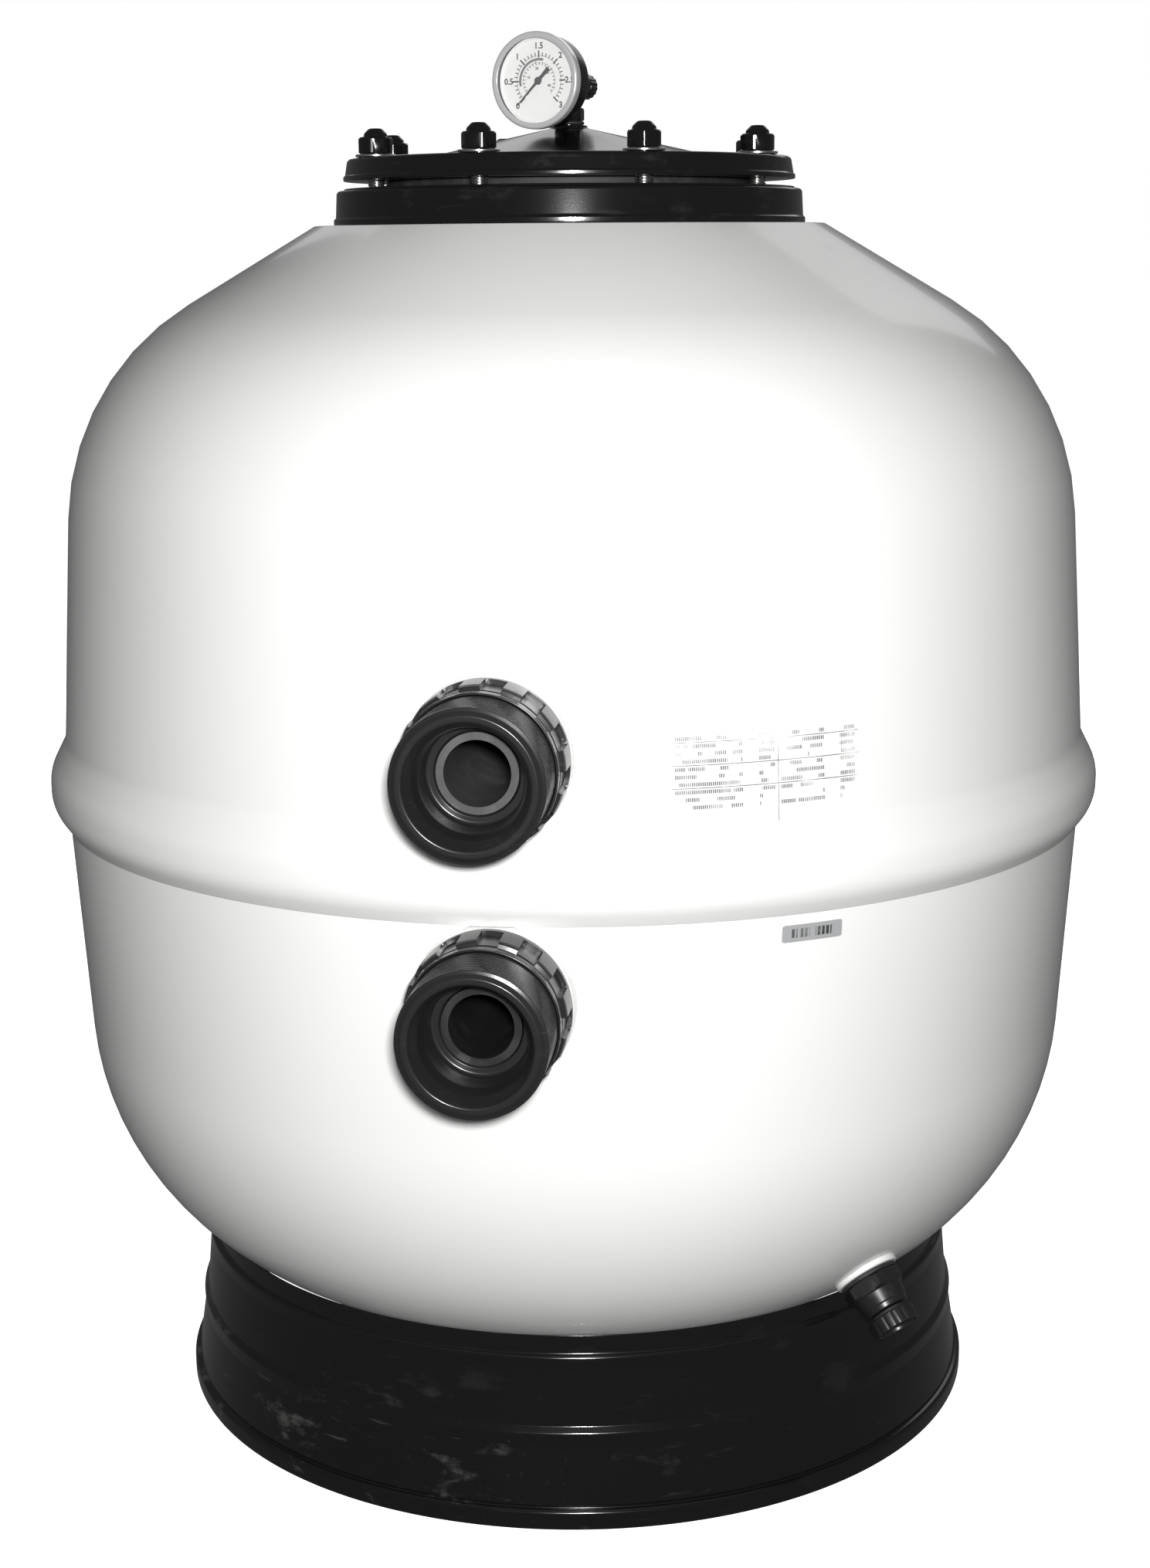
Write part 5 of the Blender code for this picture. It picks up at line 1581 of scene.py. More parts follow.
# ---------------------------------------------------------------- pressure gauge
@dataclass
class Gauge(Assembly):
    """Pressure gauge: case, bezel, lens, dial with two scales, pointer and movement.

    Attributes:
        frame: Where its axis stands.
        case: Radius of the case.
        back: Distance of its back from the tank's axis.
        rim: Distance of its rim.
        span: (lowest, highest) angle of the scales, anticlockwise from +X.
        top_psi: Highest mark of the inner scale.
    """

    frame: Matrix
    case: float = 0.0255
    back: float = 0.0240
    rim: float = 0.0430
    span: Point = (math.radians(-135), math.radians(135))
    top_psi: float = 43.5

    @property
    def face(self) -> float:
        """Distance of the dial's face from the tank's axis."""
        return self.rim - 0.0037

    def angle(self, share: float) -> float:
        """Angle of a share of the scale, anticlockwise from +X."""
        return math.pi / 2 - (self.span[0] + (self.span[1] - self.span[0]) * share)

    def blocks(
        self, name: str, marks: Sequence[Tuple[float, float, float, float]], height: float
    ) -> bpy.types.Object:
        """Thin raised bars that point to the middle.

        Args:
            name: The piece's name.
            marks: (angle, inner radius, outer radius, width) of each bar.
            height: How far they stand off the dial.

        Returns:
            The bars as one piece.
        """
        built = bmesh.new()
        for angle, inner, outer, width in marks:
            centre = Matrix.Rotation(angle, 4, "Z") @ Matrix.Translation(
                ((inner + outer) / 2, 0.0, self.face + height / 2)
            )
            size = Matrix.Diagonal((outer - inner, width, height, 1.0))
            bmesh.ops.create_cube(built, size=1.0, matrix=centre @ size)
        mesh = bpy.data.meshes.new(name)
        built.to_mesh(mesh)
        built.free()
        return stand(name, mesh, self.frame)

    def bend(
        self, name: str, inner: float, outer: float, first: float, last: float, height: float
    ) -> bpy.types.Object:
        """A thin curved bar between two shares of the scale."""
        count = 48
        rings = []
        for step in range(count + 1):
            angle = self.angle(first + (last - first) * step / count)
            across = Vector((math.cos(angle), math.sin(angle), 0.0))
            low, high = Vector((0.0, 0.0, self.face)), Vector((0.0, 0.0, self.face + height))
            rings.append(
                [across * inner + low, across * outer + low, across * outer + high, across * inner + high]
            )
        mesh = grid(name, rings, False)
        capped = bmesh.new()
        capped.from_mesh(mesh)
        bmesh.ops.holes_fill(capped, edges=[edge for edge in capped.edges if edge.is_boundary])
        capped.to_mesh(mesh)
        capped.free()
        return stand(name, mesh, self.frame)

    def figures(self, name: str, entries: Sequence[Tuple[str, float, float, float]]) -> bpy.types.Object:
        """Raised figures on the dial.

        Args:
            name: The piece's name.
            entries: (figures, share of the scale, radius, height of the figures) of each.

        Returns:
            The figures as one piece.
        """
        built = bmesh.new()
        for text, share, radius, size in entries:
            curve = bpy.data.curves.new(name, "FONT")
            curve.body = text
            curve.size = size
            curve.align_x, curve.align_y = "CENTER", "CENTER"
            curve.extrude = 0.00003
            curve.offset = size * 0.026
            curve.resolution_u = 3
            drawn = bpy.data.objects.new(name, curve)
            bpy.context.scene.collection.objects.link(drawn)
            bpy.context.view_layer.update()
            mesh = bpy.data.meshes.new_from_object(drawn.evaluated_get(bpy.context.evaluated_depsgraph_get()))
            angle = self.angle(share)
            mesh.transform(
                Matrix.Translation((radius * math.cos(angle), radius * math.sin(angle), self.face + 0.00003))
            )
            built.from_mesh(mesh)
            bpy.data.objects.remove(drawn, do_unlink=True)
            bpy.data.meshes.remove(mesh)
        bmesh.ops.remove_doubles(built, verts=built.verts, dist=1e-7)
        joined = bpy.data.meshes.new(name)
        built.to_mesh(joined)
        built.free()
        return stand(name, joined, self.frame)

    def scales(self) -> None:
        """Mark the dial with an outer scale, a pressure band and an inner scale."""
        marks = []
        for step in range(31):
            long, half = step % 5 == 0, step % 5
            inner = 0.0126 if long else 0.0134
            outer = 0.0164 if long else 0.0154
            marks.append((self.angle(step / 30), inner, outer, 0.00080 if not half else 0.00052))
        for step in range(0, 44, 2):
            outer = 0.0100 if step % 10 else 0.0106
            marks.append((self.angle(step / self.top_psi), 0.0086, outer, 0.00042))
        self.fit(self.blocks("dial_ticks", marks, 0.00006), "lid_assembly", DIAL_INK)
        lines = [
            self.bend("dial_outer_line", 0.01345, 0.01365, 0.0, 1.0, 0.00005),
            self.bend("dial_inner_line", 0.00995, 0.01010, 0.0, 1.0, 0.00005),
        ]
        for line in lines:
            self.fit(line, "lid_assembly", DIAL_INK)
        band = self.bend("dial_band", 0.01100, 0.01240, 0.12, 0.55, 0.00004)
        self.fit(band, "lid_assembly", DIAL_BAND)
        bar = [(f"{step / 2:g}", step / 6, 0.0189, 0.0046) for step in range(7)]
        psi = [(f"{step * 10}", step * 10 / self.top_psi, 0.0068, 0.0021) for step in range(1, 5)]
        self.fit(self.figures("dial_figures", [*bar, *psi]), "lid_assembly", DIAL_INK)

    def build(self) -> None:
        """Build every piece of the gauge."""
        place, cavity = self.frame, self.case - 0.0012
        case = turned(
            "gauge_case_shell",
            [
                (self.case, self.rim, 0.0003),
                (self.case, self.rim - 0.0075, 0.0),
                (self.case - 0.0003, self.rim - 0.0078, 0.0),
                (self.case - 0.0003, self.back, 0.0045),
                (0.0051, self.back, 0.0004),
                (0.0051, self.back + 0.0012, 0.0004),
                (cavity - 0.0003, self.back + 0.0012, 0.0033),
                (cavity, self.rim, 0.0003),
            ],
            place,
            96,
            ring=True,
        )
        self.fit(case, "lid_assembly", ENAMEL, "gauge_case")
        lens_back = self.rim + 0.0003
        face = lens_back + 0.0015 + 0.0003 + 0.0012
        bezel = turned(
            "gauge_bezel_ring",
            [
                (self.case + 0.0010, face, 0.0016),
                (self.case + 0.0010, face - 0.0060, 0.0004),
                (self.case + 0.0003, face - 0.0060, 0.0002),
                (self.case + 0.0003, face - 0.0012, 0.0004),
                (self.case - 0.0026, face - 0.0012, 0.0003),
                (self.case - 0.0023, face - 0.0006, 0.0004),
            ],
            place,
            128,
            ring=True,
        )
        self.fit(bezel, "lid_assembly", CHROME, "gauge_bezel")
        lens = turned(
            "gauge_lens_disc",
            [
                (0.0, lens_back + 0.0015, 0.0),
                (self.case - 0.0003, lens_back + 0.0015, 0.0004),
                (self.case - 0.0003, lens_back, 0.0003),
                (0.0, lens_back, 0.0),
            ],
            place,
            96,
        )
        self.fit(lens, "lid_assembly", LENS, "gauge_lens")
        dial = turned(
            "gauge_dial_plate",
            [
                (cavity - 0.0003, self.face + 0.0012, 0.0002),
                (cavity - 0.0003, self.face - 0.0008, 0.0002),
                (0.0012, self.face - 0.0008, 0.0),
                (0.0012, self.face, 0.0),
                (cavity - 0.0018, self.face, 0.0008),
                (cavity - 0.0008, self.face + 0.0012, 0.0002),
            ],
            place,
            96,
            ring=True,
        )
        self.fit(dial, "lid_assembly", DIAL, "gauge_dial")
        self.scales()
        self.pointer()
        self.dress(BRASS, "gauge_socket", "bourdon_tube", "sector_gear", "pointer_pinion")

    def pointer(self) -> None:
        """Tapered blade with a broad tail and a domed hub."""
        back, tip = self.face + 0.0012, 0.0190
        line = [
            (0.0, tip, 0.0), (-0.00022, tip - 0.0008, 0.0), (-0.00075, 0.0022, 0.0), (-0.0016, 0.0010, 0.0),
            (
                -0.0016, -0.0012, 0.0
            ), (-0.0009, -0.0026, 0.0), (-0.0011, -0.0078, 0.0), (-0.0016, -0.0091, 0.0),
            (0.0, -0.0094, 0.0),
        ]
        outline = [(x, y) for x, y, _ in line] + [(-x, y) for x, y, _ in reversed(line[1:-1])]
        built = bmesh.new()
        corners = [built.verts.new((x, y, back)) for x, y in outline]
        sheet = built.faces.new(corners)
        raised = bmesh.ops.extrude_face_region(built, geom=[sheet])
        moved = [item for item in raised["geom"] if isinstance(item, bmesh.types.BMVert)]
        bmesh.ops.translate(built, verts=moved, vec=(0.0, 0.0, 0.0005))
        bmesh.ops.recalc_face_normals(built, faces=built.faces)
        mesh = bpy.data.meshes.new("pointer_blade")
        built.to_mesh(mesh)
        built.free()
        place = self.frame @ Matrix.Rotation(math.radians(135), 4, "Z")
        blade = stand("pointer_blade", mesh, place)
        hub = turned(
            "pointer_hub",
            [
                (0.0, back + 0.0012, 0.0),
                (0.0019, back + 0.0010, 0.0004),
                (0.0022, back, 0.0),
                (0.0, back, 0.0),
            ],
            place,
            32,
        )
        combine(blade, [hub], "UNION")
        self.fit(blade, "gauge_hand", POINTER, "gauge_pointer")


# ---------------------------------------------------------------- side ports
class Side(Enum):
    """The two side ports: their place in the datum and the turn of their lock ring's first lug."""

    UPPER = (0, math.radians(7))
    LOWER = (1, math.radians(12))


@dataclass
class SidePort(Assembly):
    """Threaded port body with its inner flange, gasket and twelve-lug lock ring.

    Attributes:
        side: Which port.
        thread: Radius of the thread's crests.
        pitch: Distance between turns.
        socket: Radius of the pipe's socket.
        depth: Depth of the socket.
        pad: Distance of the pad's face from the tank's axis.
        seat: Distance of the inner flange's face.
        lug: Radius of the lock ring's lugs.
        collar: Radius of its collar and of the floor of its notches.
    """

    side: Side
    thread: float = 0.0372
    pitch: float = 0.0023
    socket: float = 0.0252
    depth: float = 0.0310
    # seat: Distance of the inner flange's face; not used.
    pad: float = 0.3090
    seat: float = 0.2700
    lug: float = 0.0410
    collar: float = 0.0388

    def build(self) -> None:
        """Build the port's three pieces."""
        index, phase = self.side.value
        name = self.side.name.lower()
        axis = self.datum.axis @ Matrix.Translation((0.0, 0.0, self.datum.ports[index])) @ facing(0.0)
        low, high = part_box(f"{name}_port_gasket")
        middle = self.datum.axis.translation.y
        seat, back = middle - high.y - 0.0003, middle - low.y
        face = self.datum.face
        floor = face - self.depth
        rows = threaded_rows(self.thread, face - 0.0024, self.pad + 0.0285, self.pitch, 7)
        body = turned(
            f"{name}_port_moulding",
            [
                (self.thread - 0.0066, face, 0.0014),
                (self.thread - 0.0036, face, 0.0012),
                (self.thread - 0.0016, face - 0.0018, 0.0006),
                *rows,
                (self.thread, seat, 0.0),
                (self.thread + 0.0033, seat, 0.0006),
                (self.thread + 0.0033, seat - 0.0060, 0.0010),
                (0.0204, seat - 0.0060, 0.0006),
                (0.0204, floor - 0.0012, 0.0),
                (0.0212, floor, 0.0005),
                (self.socket - 0.0004, floor, 0.0030),
                (self.socket + 0.0002, face - 0.0150, 0.0030),
                (self.socket + 0.0018, face - 0.0080, 0.0050),
            ],
            axis,
            96,
            screw_thread(self.pitch, 0.0013, self.pad + 0.0288, face - 0.0022, self.thread),
            ring=True,
        )
        self.fit(body, "tank", PORT, f"{name}_port_body")
        gasket = turned(
            f"{name}_port_seal",
            [
                (self.thread + 0.0033, back, 0.0004),
                (self.thread + 0.0033, seat + 0.0003, 0.0004),
                (self.thread + 0.0006, seat + 0.0003, 0.0004),
                (self.thread + 0.0006, back, 0.0004),
            ],
            axis,
            96,
            ring=True,
        )
        self.fit(gasket, "tank", SEAL, f"{name}_port_gasket")
        self.fit(self.lock_ring(name, axis, phase), "tank", PORT, f"{name}_lock_ring")

    def lock_ring(self, name: str, axis: Matrix, phase: float) -> bpy.types.Object:
        """Lock ring with twelve lugs on its rim and a grooved collar in front.

        Args:
            name: The port's name.
            axis: Where its axis stands.
            phase: Angle of the middle of its first lug.

        Returns:
            The ring.
        """
        half, edge = math.radians(7.2), math.radians(0.6)
        turns: List[float] = []
        for lug in evenly(12, phase):
            turns += [
                lug - half - edge,
                lug - half,
                lug - half / 2,
                lug,
                lug + half / 2,
                lug + half,
                lug + half + edge,
            ]
            gap = math.radians(30) - 2 * (half + edge)
            turns += [lug + half + edge + gap * share for share in (0.25, 0.5, 0.75)]
        rear = self.pad + 0.0003
        rim = rear + 0.0042

        def shape(angle: float, r: float, z: float) -> float:
            """Cut the notches between the lugs."""
            away = abs((angle - phase + math.radians(15)) % math.radians(30) - math.radians(15))
            notched = away > half + edge / 2
            return min(r, self.collar - 0.0002) if notched and z > rim + 0.0001 else r

        front = rear + 0.0210
        return turned(
            f"{name}_lock_ring_moulding",
            [
                (self.thread + 0.0003, front + 0.0080, 0.0005),
                (self.collar, front + 0.0080, 0.0011),
                (self.collar, front + 0.0030, 0.0006),
                (self.collar - 0.0009, front + 0.0022, 0.0006),
                (self.collar - 0.0009, front + 0.0008, 0.0004),
                (self.lug - 0.0008, front, 0.0007),
                (self.lug, front - 0.0020, 0.0010),
                (self.lug, rim + 0.0002, 0.0),
                (self.lug, rim, 0.0),
                (self.lug, rear, 0.0010),
                (self.thread + 0.0003, rear, 0.0005),
            ],
            axis,
            turns,
            shape,
            ring=True,
        )


# ---------------------------------------------------------------- pipes inside the tank
@dataclass
class Pipework(Assembly):
    """Inlet pipe with its diffuser, outlet pipe, hub and slotted laterals.

    Attributes:
        radius: Outer radius of the pipes.
        bore: Inner radius.
        bend: Radius of a bend's middle line.
        riser: Distance of the riser from the tank's axis.
        hub: (radius, height) of the hub.
        lateral: Radius of a lateral.
        slots: Slots along a lateral.
    """

    radius: float = 0.0200
    bore: float = 0.0163
    bend: float = 0.050
    riser: float = 0.120
    hub: Point = (0.0340, 0.0460)
    lateral: float = 0.0125
    slots: int = 34

    def line(self, points: Sequence[Point]) -> List[Vector]:
        """Middle line through (distance in front of the axis, height) points."""
        return [Vector((0.0, self.datum.axis.translation.y - out, z)) for out, z in points]

    def build(self) -> None:
        """Build every piece of the pipework."""
        end = self.datum.face - 0.0310 - 0.0003
        upper, lower = self.datum.ports
        top = self.datum.neck - 0.085
        inlet = [(end, upper)]
        inlet += [
            (self.riser + self.bend - self.bend * math.sin(a), upper + self.bend - self.bend * math.cos(a))
            for a in (math.pi / 2 * step / 12 for step in range(13))
        ]
        self.fit(
            swept("inlet_pipe_run", self.line([*inlet, (self.riser, top)]), self.radius, self.bore),
            "tank",
            PIPE,
            "inlet_pipe",
        )
        hub_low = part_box("collector_hub")[0].z
        hub_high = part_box("collector_hub")[1].z
        outlet = [(end, lower)]
        outlet += [
            (self.bend - self.bend * math.sin(a), lower - self.bend + self.bend * math.cos(a))
            for a in (math.pi / 2 * step / 12 for step in range(13))
        ]
        run = swept("outlet_pipe_run", self.line([*outlet, (0.0, hub_high - 0.0117)]), self.radius, self.bore)
        # The outlet pipe takes the darker copy of the pipe finish: painted shade.
        self.fit(run, "tank", SHADED_OUTLET_PIPE, "outlet_pipe")
        place = self.datum.axis @ Matrix.Translation((0.0, -self.riser, 0.0))
        cup = top + 0.0003
        throat = cup + 0.0074
        bell = turned(
            "diffuser_bell",
            [
                (0.0500, throat + 0.0220, 0.0008),
                (0.0500, throat + 0.0190, 0.0008),
                (0.0360, throat + 0.0080, 0.0120),
                (0.0241, cup, 0.0030),
                (0.0241, top - 0.0220, 0.0008),
                (0.0204, top - 0.0220, 0.0004),
                (0.0204, cup, 0.0),
                (self.bore, cup, 0.0004),
                (self.bore, throat - 0.0018, 0.0040),
                (0.0350, throat + 0.0110, 0.0120),
                (0.0470, throat + 0.0220, 0.0008),
            ],
            place,
            64,
            ring=True,
        )
        self.fit(bell, "tank", INNER, "diffuser")
        hub = turned(
            "collector_hub_moulding",
            [
                (0.0204, hub_high, 0.0006),
                (0.0270, hub_high, 0.0015),
                (0.0280, hub_high - 0.0090, 0.0040),
                (self.hub[0], hub_high - 0.0140, 0.0040),
                (self.hub[0], hub_low, 0.0025),
                (0.0050, hub_low, 0.0006),
                (0.0050, hub_low + 0.0050, 0.0006),
                (self.bore, hub_low + 0.0050, 0.0020),
                (self.bore, hub_high - 0.0120, 0.0004),
                (0.0204, hub_high - 0.0120, 0.0004),
            ],
            self.datum.axis,
            64,
            ring=True,
        )
        self.fit(hub, "tank", INNER, "collector_hub")
        for index, turn in enumerate(evenly(8, math.pi / 8), 1):
            self.fit(
                self.make_lateral(index, turn, hub_low + 0.0170), "tank", INNER, f"collector_lateral_{index}"
            )

    def make_lateral(self, index: int, turn: float, height: float) -> bpy.types.Object:
        """One lateral, with slots all the way along it."""
        root, tip = self.hub[0] + 0.0003, 0.645 * 0.3025
        corners: List[Corner] = [(0.0, tip, 0.0), (self.lateral, tip, 0.0030)]
        step = (tip - 0.012 - root - 0.010) / self.slots
        for slot in range(self.slots):
            z = tip - 0.012 - slot * step
            corners += [
                (self.lateral, z, 0.0),
                (self.lateral - 0.0010, z - 0.0002, 0.0),
                (self.lateral - 0.0010, z - 0.0012, 0.0),
                (self.lateral, z - 0.0014, 0.0),
            ]
        corners += [
            (self.lateral, root, 0.0010),
            (0.0074, root, 0.0),
            (0.0074, root - 0.0080, 0.0005),
            (0.0, root - 0.0080, 0.0),
        ]
        place = self.datum.axis @ Matrix.Translation((0.0, 0.0, height)) @ facing(turn)
        return turned(f"lateral_{index}", corners, place, 32)


# ---------------------------------------------------------------- drain
@dataclass
class Drain(Assembly):
    """Drain body with its hexagon, gasket, strainer and webbed plug.

    Attributes:
        frame: Where its axis stands.
        tube: Radius of the screwed tube.
        bore: Radius of the waterway.
        hexagon: Radius of the hexagon's corners.
    """

    frame: Matrix
    tube: float = 0.0125
    bore: float = 0.0070
    hexagon: float = 0.0180

    def build(self) -> None:
        """Build the drain's pieces."""
        place = self.frame
        low, high = 0.0046, 0.0126
        across = hexagon(self.hexagon)

        def shape(angle: float, r: float, z: float) -> float:
            """Cut the hexagon."""
            return min(r, across(angle)) if low - 1e-4 < z < high + 1e-4 and r > 0.0150 else r

        end = high + 0.0110
        body = turned(
            "drain_body_moulding",
            [
                (self.bore, end, 0.0005),
                (0.0128, end, 0.0008),
                (0.0130, end - 0.0030, 0.0006),
                (0.0136, end - 0.0036, 0.0006),
                (0.0148, high + 0.0003, 0.0006),
                (0.0158, high, 0.0),
                (0.0182, high - 0.0011, 0.0),
                (0.0182, low + 0.0011, 0.0),
                (0.0160, low, 0.0),
                (self.tube, low, 0.0),
                *threaded_rows(self.tube, low - 0.0010, -0.0200, 0.0018, 5),
                (self.tube - 0.0010, -0.0220, 0.0),
                (self.bore, -0.0220, 0.0004),
            ],
            place,
            72,
            lambda a, r, z: shape(a, screw_thread(0.0018, 0.0008, -0.0190, 0.0026, self.tube)(a, r, z), z),
            ring=True,
        )
        self.fit(body, "tank", DRAIN, "drain_body")
        gasket = turned(
            "drain_seal_washer",
            [
                (0.0170, 0.0043, 0.0005),
                (0.0170, 0.0023, 0.0005),
                (0.0129, 0.0023, 0.0003),
                (0.0129, 0.0043, 0.0003),
            ],
            place,
            64,
            ring=True,
        )
        self.fit(gasket, "tank", SEAL, "drain_gasket")
        self.dress(INNER, "drain_strainer")
        rim = end + 0.0026
        face = rim + 0.0088

        def grip(angle: float, r: float, z: float) -> float:
            """Flute the plug's rim."""
            return r - 0.0005 * max(0.0, math.cos(14 * angle)) ** 2 if r > 0.0130 and z > rim + 0.0008 else r

        plug = turned(
            "drain_plug_moulding",
            [
                (0.0, face - 0.0060, 0.0),
                (0.0111, face - 0.0060, 0.0006),
                (0.0113, face, 0.0006),
                (0.0135, face, 0.0009),
                (0.0135, rim, 0.0008),
                (0.0066, rim, 0.0004),
                *threaded_rows(0.0066, rim - 0.0010, rim - 0.0090, 0.0016, 5),
                (0.0058, rim - 0.0100, 0.0),
                (0.0, rim - 0.0100, 0.0),
            ],
            place,
            112,
            lambda a, r, z: grip(
                a, screw_thread(0.0016, 0.0007, rim - 0.0090, rim - 0.0010, 0.0066)(a, r, z), z
            ),
        )
        web = bmesh.new()
        middle = Matrix.Translation((0.0, 0.0, face - 0.0036))
        bmesh.ops.create_cube(web, size=1.0, matrix=middle @ Matrix.Diagonal((0.0244, 0.0028, 0.0056, 1.0)))
        bmesh.ops.bevel(web, geom=web.edges[:], offset=0.0004, segments=2, affect="EDGES")
        mesh = bpy.data.meshes.new("plug_web")
        web.to_mesh(mesh)
        web.free()
        combine(plug, [stand("plug_web", mesh, place)], "UNION")
        self.fit(plug, "drain_screw", DRAIN, "drain_plug")
        section = arc((0.0066 + 0.0023, end + 0.0013), 0.0010, math.pi / 2, -1.5 * math.pi)[:-1]
        self.fit(
            turned("drain_plug_seal", section, place, 64, ring=True), "drain_seal", SEAL, "drain_plug_o_ring"
        )


# ---------------------------------------------------------------- labels
@dataclass(frozen=True)
class Sticker:
    """A printed film on a wall.

    Attributes:
        node: The node that it stands for.
        size: (width, height).
        turn: Turn of its middle from the ports' side.
        radius: Distance of its back from the tank's axis, at its lower and its upper edge.
        finish: Its finish.
    """

    node: str
    size: Point
    turn: float
    radius: Point
    finish: PrintedFilm


@dataclass
class Labels(Assembly):
    """The two stickers, wrapped on the walls with rounded corners.

    Attributes:
        film: Thickness of the film.
        corner: Radius of its corners.
    """

    film: float = 0.00035
    corner: float = 0.0012

    def wrap(self, sticker: Sticker) -> bpy.types.Object:
        """Wrap one sticker round its wall.

        Args:
            sticker: The sticker.

        Returns:
            The film, with its (u, v) square from its lower left to its upper right corner.
        """
        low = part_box(sticker.node)[0].z
        width, height = sticker.size
        columns, rows = 64, 24
        built = bmesh.new()
        square = built.loops.layers.uv.new("film")
        layers: List[List[List[bmesh.types.BMVert]]] = []
        shares: Dict[bmesh.types.BMVert, Point] = {}
        mean = sum(sticker.radius) / 2
        for lift in (0.0, self.film):
            layer = []
            for row in range(rows + 1):
                v = row / rows
                line = []
                for column in range(columns + 1):
                    u = column / columns
                    trim = self.corner - min(self.corner, min(v, 1 - v) * height)
                    pull = self.corner - math.sqrt(max(self.corner**2 - trim**2, 0.0))
                    own = u * (width - 2 * pull) + pull
                    angle = sticker.turn - math.pi / 2 + (own - width / 2) / mean
                    r = sticker.radius[0] + (sticker.radius[1] - sticker.radius[0]) * v + lift
                    vertex = built.verts.new((r * math.cos(angle), r * math.sin(angle), low + v * height))
                    shares[vertex] = (own / width, v)
                    line.append(vertex)
                layer.append(line)
            layers.append(layer)
        for layer in layers:
            for first, second in zip(layer, layer[1:]):
                for left in range(columns):
                    built.faces.new((first[left], first[left + 1], second[left + 1], second[left]))
        border = [(0, c) for c in range(columns)] + [(r, columns) for r in range(rows)]
        border += [(rows, c) for c in range(columns, 0, -1)] + [(r, 0) for r in range(rows, 0, -1)]
        for here, ahead in zip(border, border[1:] + border[:1]):
            a, b = (layers[0][row][column] for row, column in (here, ahead))
            c, d = (layers[1][row][column] for row, column in (ahead, here))
            built.faces.new((a, b, c, d))
        bmesh.ops.recalc_face_normals(built, faces=built.faces)
        for face in built.faces:
            for loop in face.loops:
                loop[square].uv = shares[loop.vert]
        mesh = bpy.data.meshes.new(sticker.node + "_film")
        built.to_mesh(mesh)
        built.free()
        return stand(sticker.node + "_film", mesh, self.datum.axis)

    def build(self) -> None:
        """Wrap both stickers."""
        draft = math.tan(math.radians(3.5))
        band_top = self.datum.seam + 0.0490
        data = self.datum.seam + 0.0720
        serial = self.datum.seam - 0.0100
        stickers = (
            Sticker(
                "data_label",
                (0.100, 0.045),
                math.radians(26.4),
                tuple(0.3025 - (data + side - band_top) * draft + 0.0004 for side in (-0.0225, 0.0225)),
                DATA_FILM,
            ),
            Sticker(
                "serial_label",
                (0.034, 0.009),
                math.radians(31),
                tuple(
                    0.3025 - (self.datum.seam - serial - side) * draft + 0.0004 for side in (-0.0045, 0.0045)
                ),
                SERIAL_FILM,
            ),
        )
        for sticker in stickers:
            self.fit(self.wrap(sticker), "tank", sticker.finish, sticker.node)


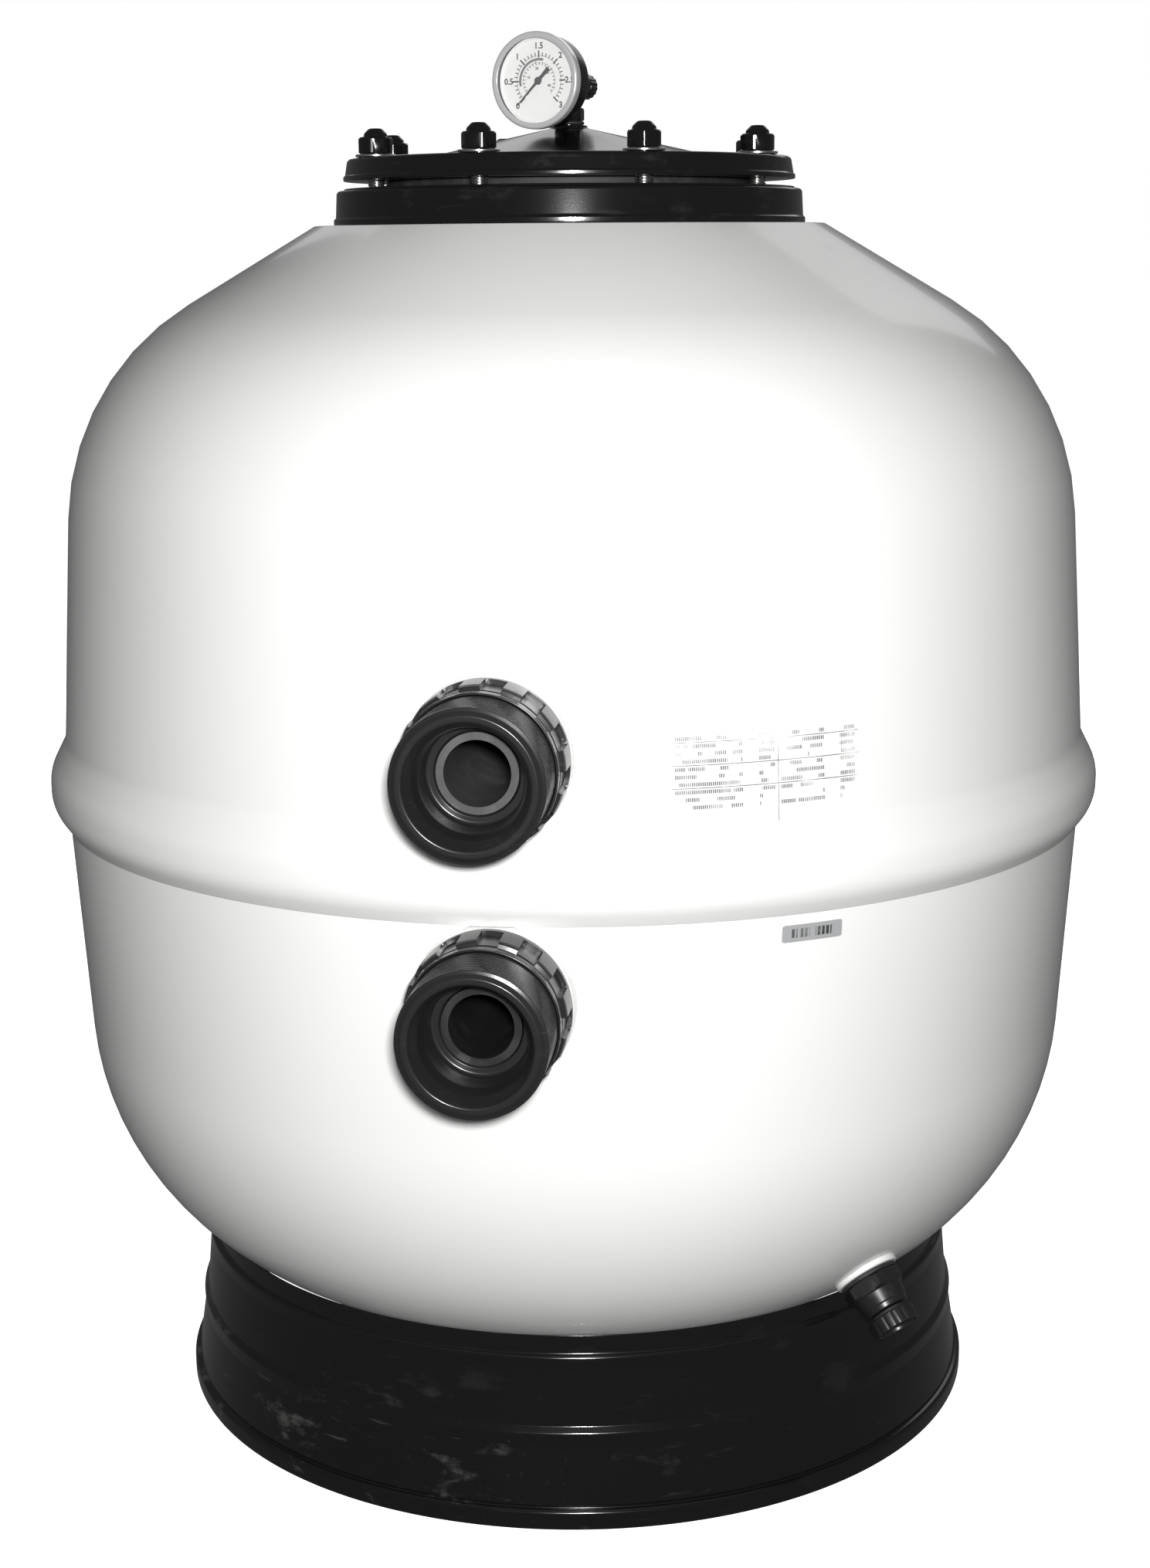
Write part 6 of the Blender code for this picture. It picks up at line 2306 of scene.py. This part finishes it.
# ---------------------------------------------------------------- studio
@dataclass
class Studio:
    """Camera, lamps and floor.

    Attributes:
        eye: Where the camera stands.
        turn: Camera's turn from the ports' side.
        pitch: How far it looks down.
        roll: Its roll.
        lens: Focal length on a 36 mm sensor.
        ambient: Even light from all round.
    """

    eye: Tuple[float, float, float] = (0.19533, -1.41590, 0.6892)
    turn: float = math.radians(7.7)
    pitch: float = math.radians(12.56)
    roll: float = math.radians(-0.406)
    lens: float = 55.94
    ambient: float = 0.11

    def camera(self) -> None:
        """Stand the camera."""
        data = bpy.data.cameras.new("studio_camera")
        data.sensor_width = 36.0
        data.lens = self.lens
        data.shift_x, data.shift_y = 0.0009, 0.0015
        data.clip_start, data.clip_end = 0.05, 60.0
        made = bpy.data.objects.new("studio_camera", data)
        bpy.context.scene.collection.objects.link(made)
        made.matrix_world = (
            Matrix.Translation(self.eye)
            @ Matrix.Rotation(self.turn, 4, "Z")
            @ Matrix.Rotation(math.pi / 2 - self.pitch, 4, "X")
            @ Matrix.Rotation(self.roll, 4, "Z")
        )
        bpy.context.scene.camera = made

    def lamp(
        self, name: str, place: Tuple[float, float, float], size: Point, power: float, mirrored: bool
    ) -> None:
        """Hang a soft lamp that faces the tank.

        Args:
            name: Its name.
            place: Where it hangs.
            size: Its width and height.
            power: Its power in watts.
            mirrored: Whether gloss shows it.
        """
        data = bpy.data.lights.new(name, "AREA")
        data.shape = "RECTANGLE"
        data.size, data.size_y = size
        data.energy = power
        made = bpy.data.objects.new(name, data)
        made.visible_camera = False
        made.visible_glossy = mirrored
        bpy.context.scene.collection.objects.link(made)
        away = Vector(place) - Vector((0.0, 0.02875, 0.42))
        made.matrix_world = Matrix.Translation(place) @ away.to_track_quat("Z", "Y").to_matrix().to_4x4()

    def world(self) -> None:
        """Even pale surroundings, brighter where the camera sees them."""
        world = bpy.data.worlds.new("studio_world")
        world.use_nodes = True
        tree = world.node_tree
        near = tree.nodes["Background"]
        near.inputs["Strength"].default_value = self.ambient
        near.inputs["Color"].default_value = (1.0, 1.0, 1.0, 1.0)
        seen = tree.nodes.new("ShaderNodeBackground")
        seen.inputs["Color"].default_value = (1.0, 1.0, 1.0, 1.0)
        path = tree.nodes.new("ShaderNodeLightPath")
        mix = tree.nodes.new("ShaderNodeMixShader")
        tree.links.new(path.outputs["Is Camera Ray"], mix.inputs[0])
        tree.links.new(near.outputs[0], mix.inputs[1])
        tree.links.new(seen.outputs[0], mix.inputs[2])
        tree.links.new(mix.outputs[0], tree.nodes["World Output"].inputs["Surface"])
        bpy.context.scene.world = world
        bpy.context.scene.view_settings.view_transform = "Standard"

    def floor(self) -> None:
        """Lay a round pale floor."""
        disc = turned(
            "studio_floor",
            [(0.0, 0.0, 0.0), (14.0, 0.0, 0.0), (14.0, -0.02, 0.0), (0.0, -0.02, 0.0)],
            Matrix(),
            96,
        )
        finish_mesh(disc)
        disc.data.materials.append(FLOOR.material())
        disc.visible_glossy = False
        disc.visible_diffuse = False

    def build(self) -> None:
        """Set up the studio."""
        self.camera()
        self.world()
        self.floor()
        self.lamp("key_lamp", (0.235, -1.47, 0.76), (0.09, 0.07), 24.0, True)
        self.lamp("rear_panel", (0.0, 2.6, 2.0), (2.8, 1.3), 10.0, True)
        self.lamp("rear_lamp", (-0.4, 2.7, 0.55), (0.6, 0.6), 42.0, False)


def main() -> None:
    """Build the studio and every assembly."""
    logging.basicConfig(level=logging.INFO, format="%(name)s: %(message)s")
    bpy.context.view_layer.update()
    datum = Datum.read()
    Studio().build()
    shells = Shells(datum)
    tee = Tee(datum)
    assemblies: List[Assembly] = [
        BaseSkirt(datum),
        shells,
        Neck(datum),
        Lid(datum),
        tee,
        Gauge(datum, tee.gauge_frame()),
        SidePort(datum, Side.UPPER),
        SidePort(datum, Side.LOWER),
        Pipework(datum),
        Drain(datum, shells.drain_frame()),
        Labels(datum),
    ]
    for assembly in assemblies:
        assembly.build()


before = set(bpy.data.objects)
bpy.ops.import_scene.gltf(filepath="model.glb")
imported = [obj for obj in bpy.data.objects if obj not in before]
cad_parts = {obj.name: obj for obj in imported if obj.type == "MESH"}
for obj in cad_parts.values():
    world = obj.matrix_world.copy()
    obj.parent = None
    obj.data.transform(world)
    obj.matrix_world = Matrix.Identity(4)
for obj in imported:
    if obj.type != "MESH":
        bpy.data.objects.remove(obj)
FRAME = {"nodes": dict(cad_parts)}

if __name__ == "__main__":
    main()
